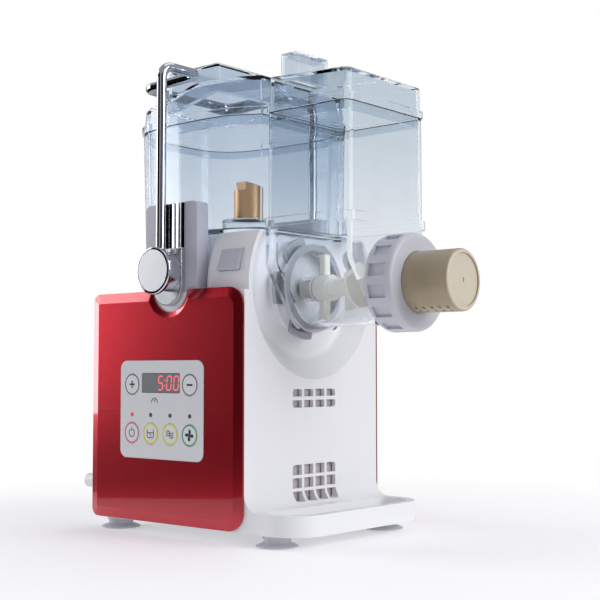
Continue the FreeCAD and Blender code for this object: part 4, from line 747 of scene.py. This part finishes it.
# %% White table
ROOM_WHITE = 1.0
TABLE_GLOW = 0.45
ROOM_GLOW = 0.48
table_top, tree, output = new_material("matt_white_laminate")
place = add_node(tree, "ShaderNodeTexCoord")
mottle = add_node(tree, "ShaderNodeTexNoise", values={"Scale": 3.0, "Detail": 2.0},
                  links={"Vector": place.outputs["Object"]})
pale = add_node(tree, "ShaderNodeMix", settings={"data_type": "RGBA"},
                values={"A": linear("#F4F4F5"), "B": linear("#F7F7F8")},
                links={"Factor": mottle.outputs["Fac"]})
laminate = add_node(tree, "ShaderNodeBsdfPrincipled",
                    values={"Roughness": 0.6, "Emission Color": (1, 1, 1, 1), "Emission Strength": 0.22},
                    links={"Base Color": pale.outputs["Result"]})
ray = add_node(tree, "ShaderNodeLightPath")
straight = add_node(tree, "ShaderNodeMath", settings={"operation": "MAXIMUM"},
                    links={0: ray.outputs["Is Camera Ray"], 1: ray.outputs["Is Transmission Ray"]})
level = add_node(tree, "ShaderNodeMapRange", values={"To Min": TABLE_GLOW, "To Max": ROOM_WHITE},
                 links={"Value": straight.outputs["Value"]})
glow = add_node(tree, "ShaderNodeEmission", values={"Color": (1, 1, 1, 1)},
                links={"Strength": level.outputs["Result"]})
away = add_node(tree, "ShaderNodeVectorMath", settings={"operation": "LENGTH"},
                links={0: place.outputs["Object"]})
fade = add_node(tree, "ShaderNodeMapRange", settings={"interpolation_type": "SMOOTHSTEP"},
                values={"From Min": 0.12, "From Max": 0.50}, links={"Value": away.outputs["Value"]})
ground = add_node(tree, "ShaderNodeMixShader",
                  links={0: fade.outputs["Result"], 1: laminate.outputs["BSDF"], 2: glow.outputs["Emission"]})
tree.links.new(ground.outputs["Shader"], output.inputs["Surface"])

bm = bmesh.new()
bmesh.ops.create_circle(bm, cap_ends=True, segments=96, radius=8.0)
floor_mesh = bpy.data.meshes.new("table_top")
bm.to_mesh(floor_mesh)
bm.free()
floor_mesh.materials.append(table_top)
floor = bpy.data.objects.new("table_top", floor_mesh)
bpy.context.scene.collection.objects.link(floor)
print("white table ready")

# %% White room
world = bpy.data.worlds.new("bright_room")
world.use_nodes = True
bpy.context.scene.world = world
tree = world.node_tree
tree.nodes.clear()
ray = add_node(tree, "ShaderNodeLightPath")
straight = add_node(tree, "ShaderNodeMath", settings={"operation": "MAXIMUM"},
                    links={0: ray.outputs["Is Camera Ray"], 1: ray.outputs["Is Transmission Ray"]})
flagged = add_node(tree, "ShaderNodeBackground", values={"Color": linear("#EDEDF6"), "Strength": ROOM_GLOW})
plain = add_node(tree, "ShaderNodeBackground", values={"Color": (1, 1, 1, 1), "Strength": ROOM_WHITE})
room = add_node(tree, "ShaderNodeMixShader",
                links={0: straight.outputs["Value"], 1: flagged.outputs["Background"],
                       2: plain.outputs["Background"]})
add_node(tree, "ShaderNodeOutputWorld", links={"Surface": room.outputs["Shader"]})
print("white room ready")

# %% [markdown]
# ## Lamps and cards
#
# A tall softbox at the left makes the red panel glow on that side and lets it fall off to the right, because
# metallic paint shines only near the mirror direction. A low fill softbox beside it carries the glow further
# across, a wide one at the right lights the drive face, and a weak one overhead the tops, so the front stays
# half in shade.
#
# Black cards stand outside the picture, and a last one lies on the table in front. They show only in
# reflections: bright metal and clear plastic need something dark to mirror, or they vanish into the white.

# %% Lamps
def softbox(name, location, target, width, height, watts):
    """A rectangular area lamp that faces a point and isn't seen itself."""
    lamp = bpy.data.lights.new(name, "AREA")
    lamp.shape = "RECTANGLE"
    lamp.size = width
    lamp.size_y = height
    lamp.energy = watts
    holder = bpy.data.objects.new(name, lamp)
    bpy.context.scene.collection.objects.link(holder)
    holder.location = location
    holder.rotation_euler = (Vector(target) - Vector(location)).to_track_quat("-Z", "Y").to_euler()
    holder.visible_camera = False
    return holder


softbox("left_softbox", (-2.02, -0.50, 0.7), (0, 0, 0.15), 0.4, 2.0, 11)
softbox("fill_softbox", (-1.80, -1.04, 0.40), (0, 0, 0.15), 0.6, 1.2, 9)
softbox("right_softbox", (2.0, 0.5, 1.0), (0, 0, 0.15), 1.3, 1.6, 25)
softbox("overhead_softbox", (0.0, 0.6, 2.2), (0, 0, 0.1), 1.6, 1.6, 7)
print("four softboxes ready")

# %% Black cards
card_black, tree, output = new_material("black_velvet_card")
nap = add_node(tree, "ShaderNodeTexNoise", values={"Scale": 400.0})
dark = add_node(tree, "ShaderNodeMix", settings={"data_type": "RGBA"},
                values={"A": linear("#060606"), "B": linear("#0E0E0F")}, links={"Factor": nap.outputs["Fac"]})
velvet = add_node(tree, "ShaderNodeBsdfDiffuse", links={"Color": dark.outputs["Result"]})
tree.links.new(velvet.outputs["BSDF"], output.inputs["Surface"])


def card(name, size, place):
    """A black board that only shows in reflections."""
    bm = bmesh.new()
    bmesh.ops.create_grid(bm, x_segments=1, y_segments=1, size=0.5,
                          matrix=place @ Matrix.Diagonal((size[0], size[1], 1.0, 1.0)))
    mesh = bpy.data.meshes.new(name)
    bm.to_mesh(mesh)
    bm.free()
    mesh.materials.append(card_black)
    board = bpy.data.objects.new(name, mesh)
    bpy.context.scene.collection.objects.link(board)
    board.visible_camera = False
    board.visible_shadow = False
    board.visible_diffuse = False
    board.visible_transmission = False


CARD_FAR = 2.6
CARD_BOTTOM = -0.1
CARD_TOP = 2.1
card_middle = (CARD_BOTTOM + CARD_TOP) / 2
for name, angle, wide in (("right_card", 74.0, 1.5), ("camera_card", 40.0, 0.8), ("front_card", -27.0, 3.0)):
    heading = Matrix.Rotation(math.radians(angle), 4, "Z")
    stand = Matrix.Translation((0.0, -CARD_FAR, card_middle)) @ Matrix.Rotation(math.pi / 2, 4, "X")
    card(name, (wide, CARD_TOP - CARD_BOTTOM), heading @ stand)
in_front = Matrix.Rotation(math.radians(-36.0), 4, "Z") @ Matrix.Translation((0.0, -1.45, 0.002))
card("table_card", (3.0, 2.3), in_front)
print("studio ready")
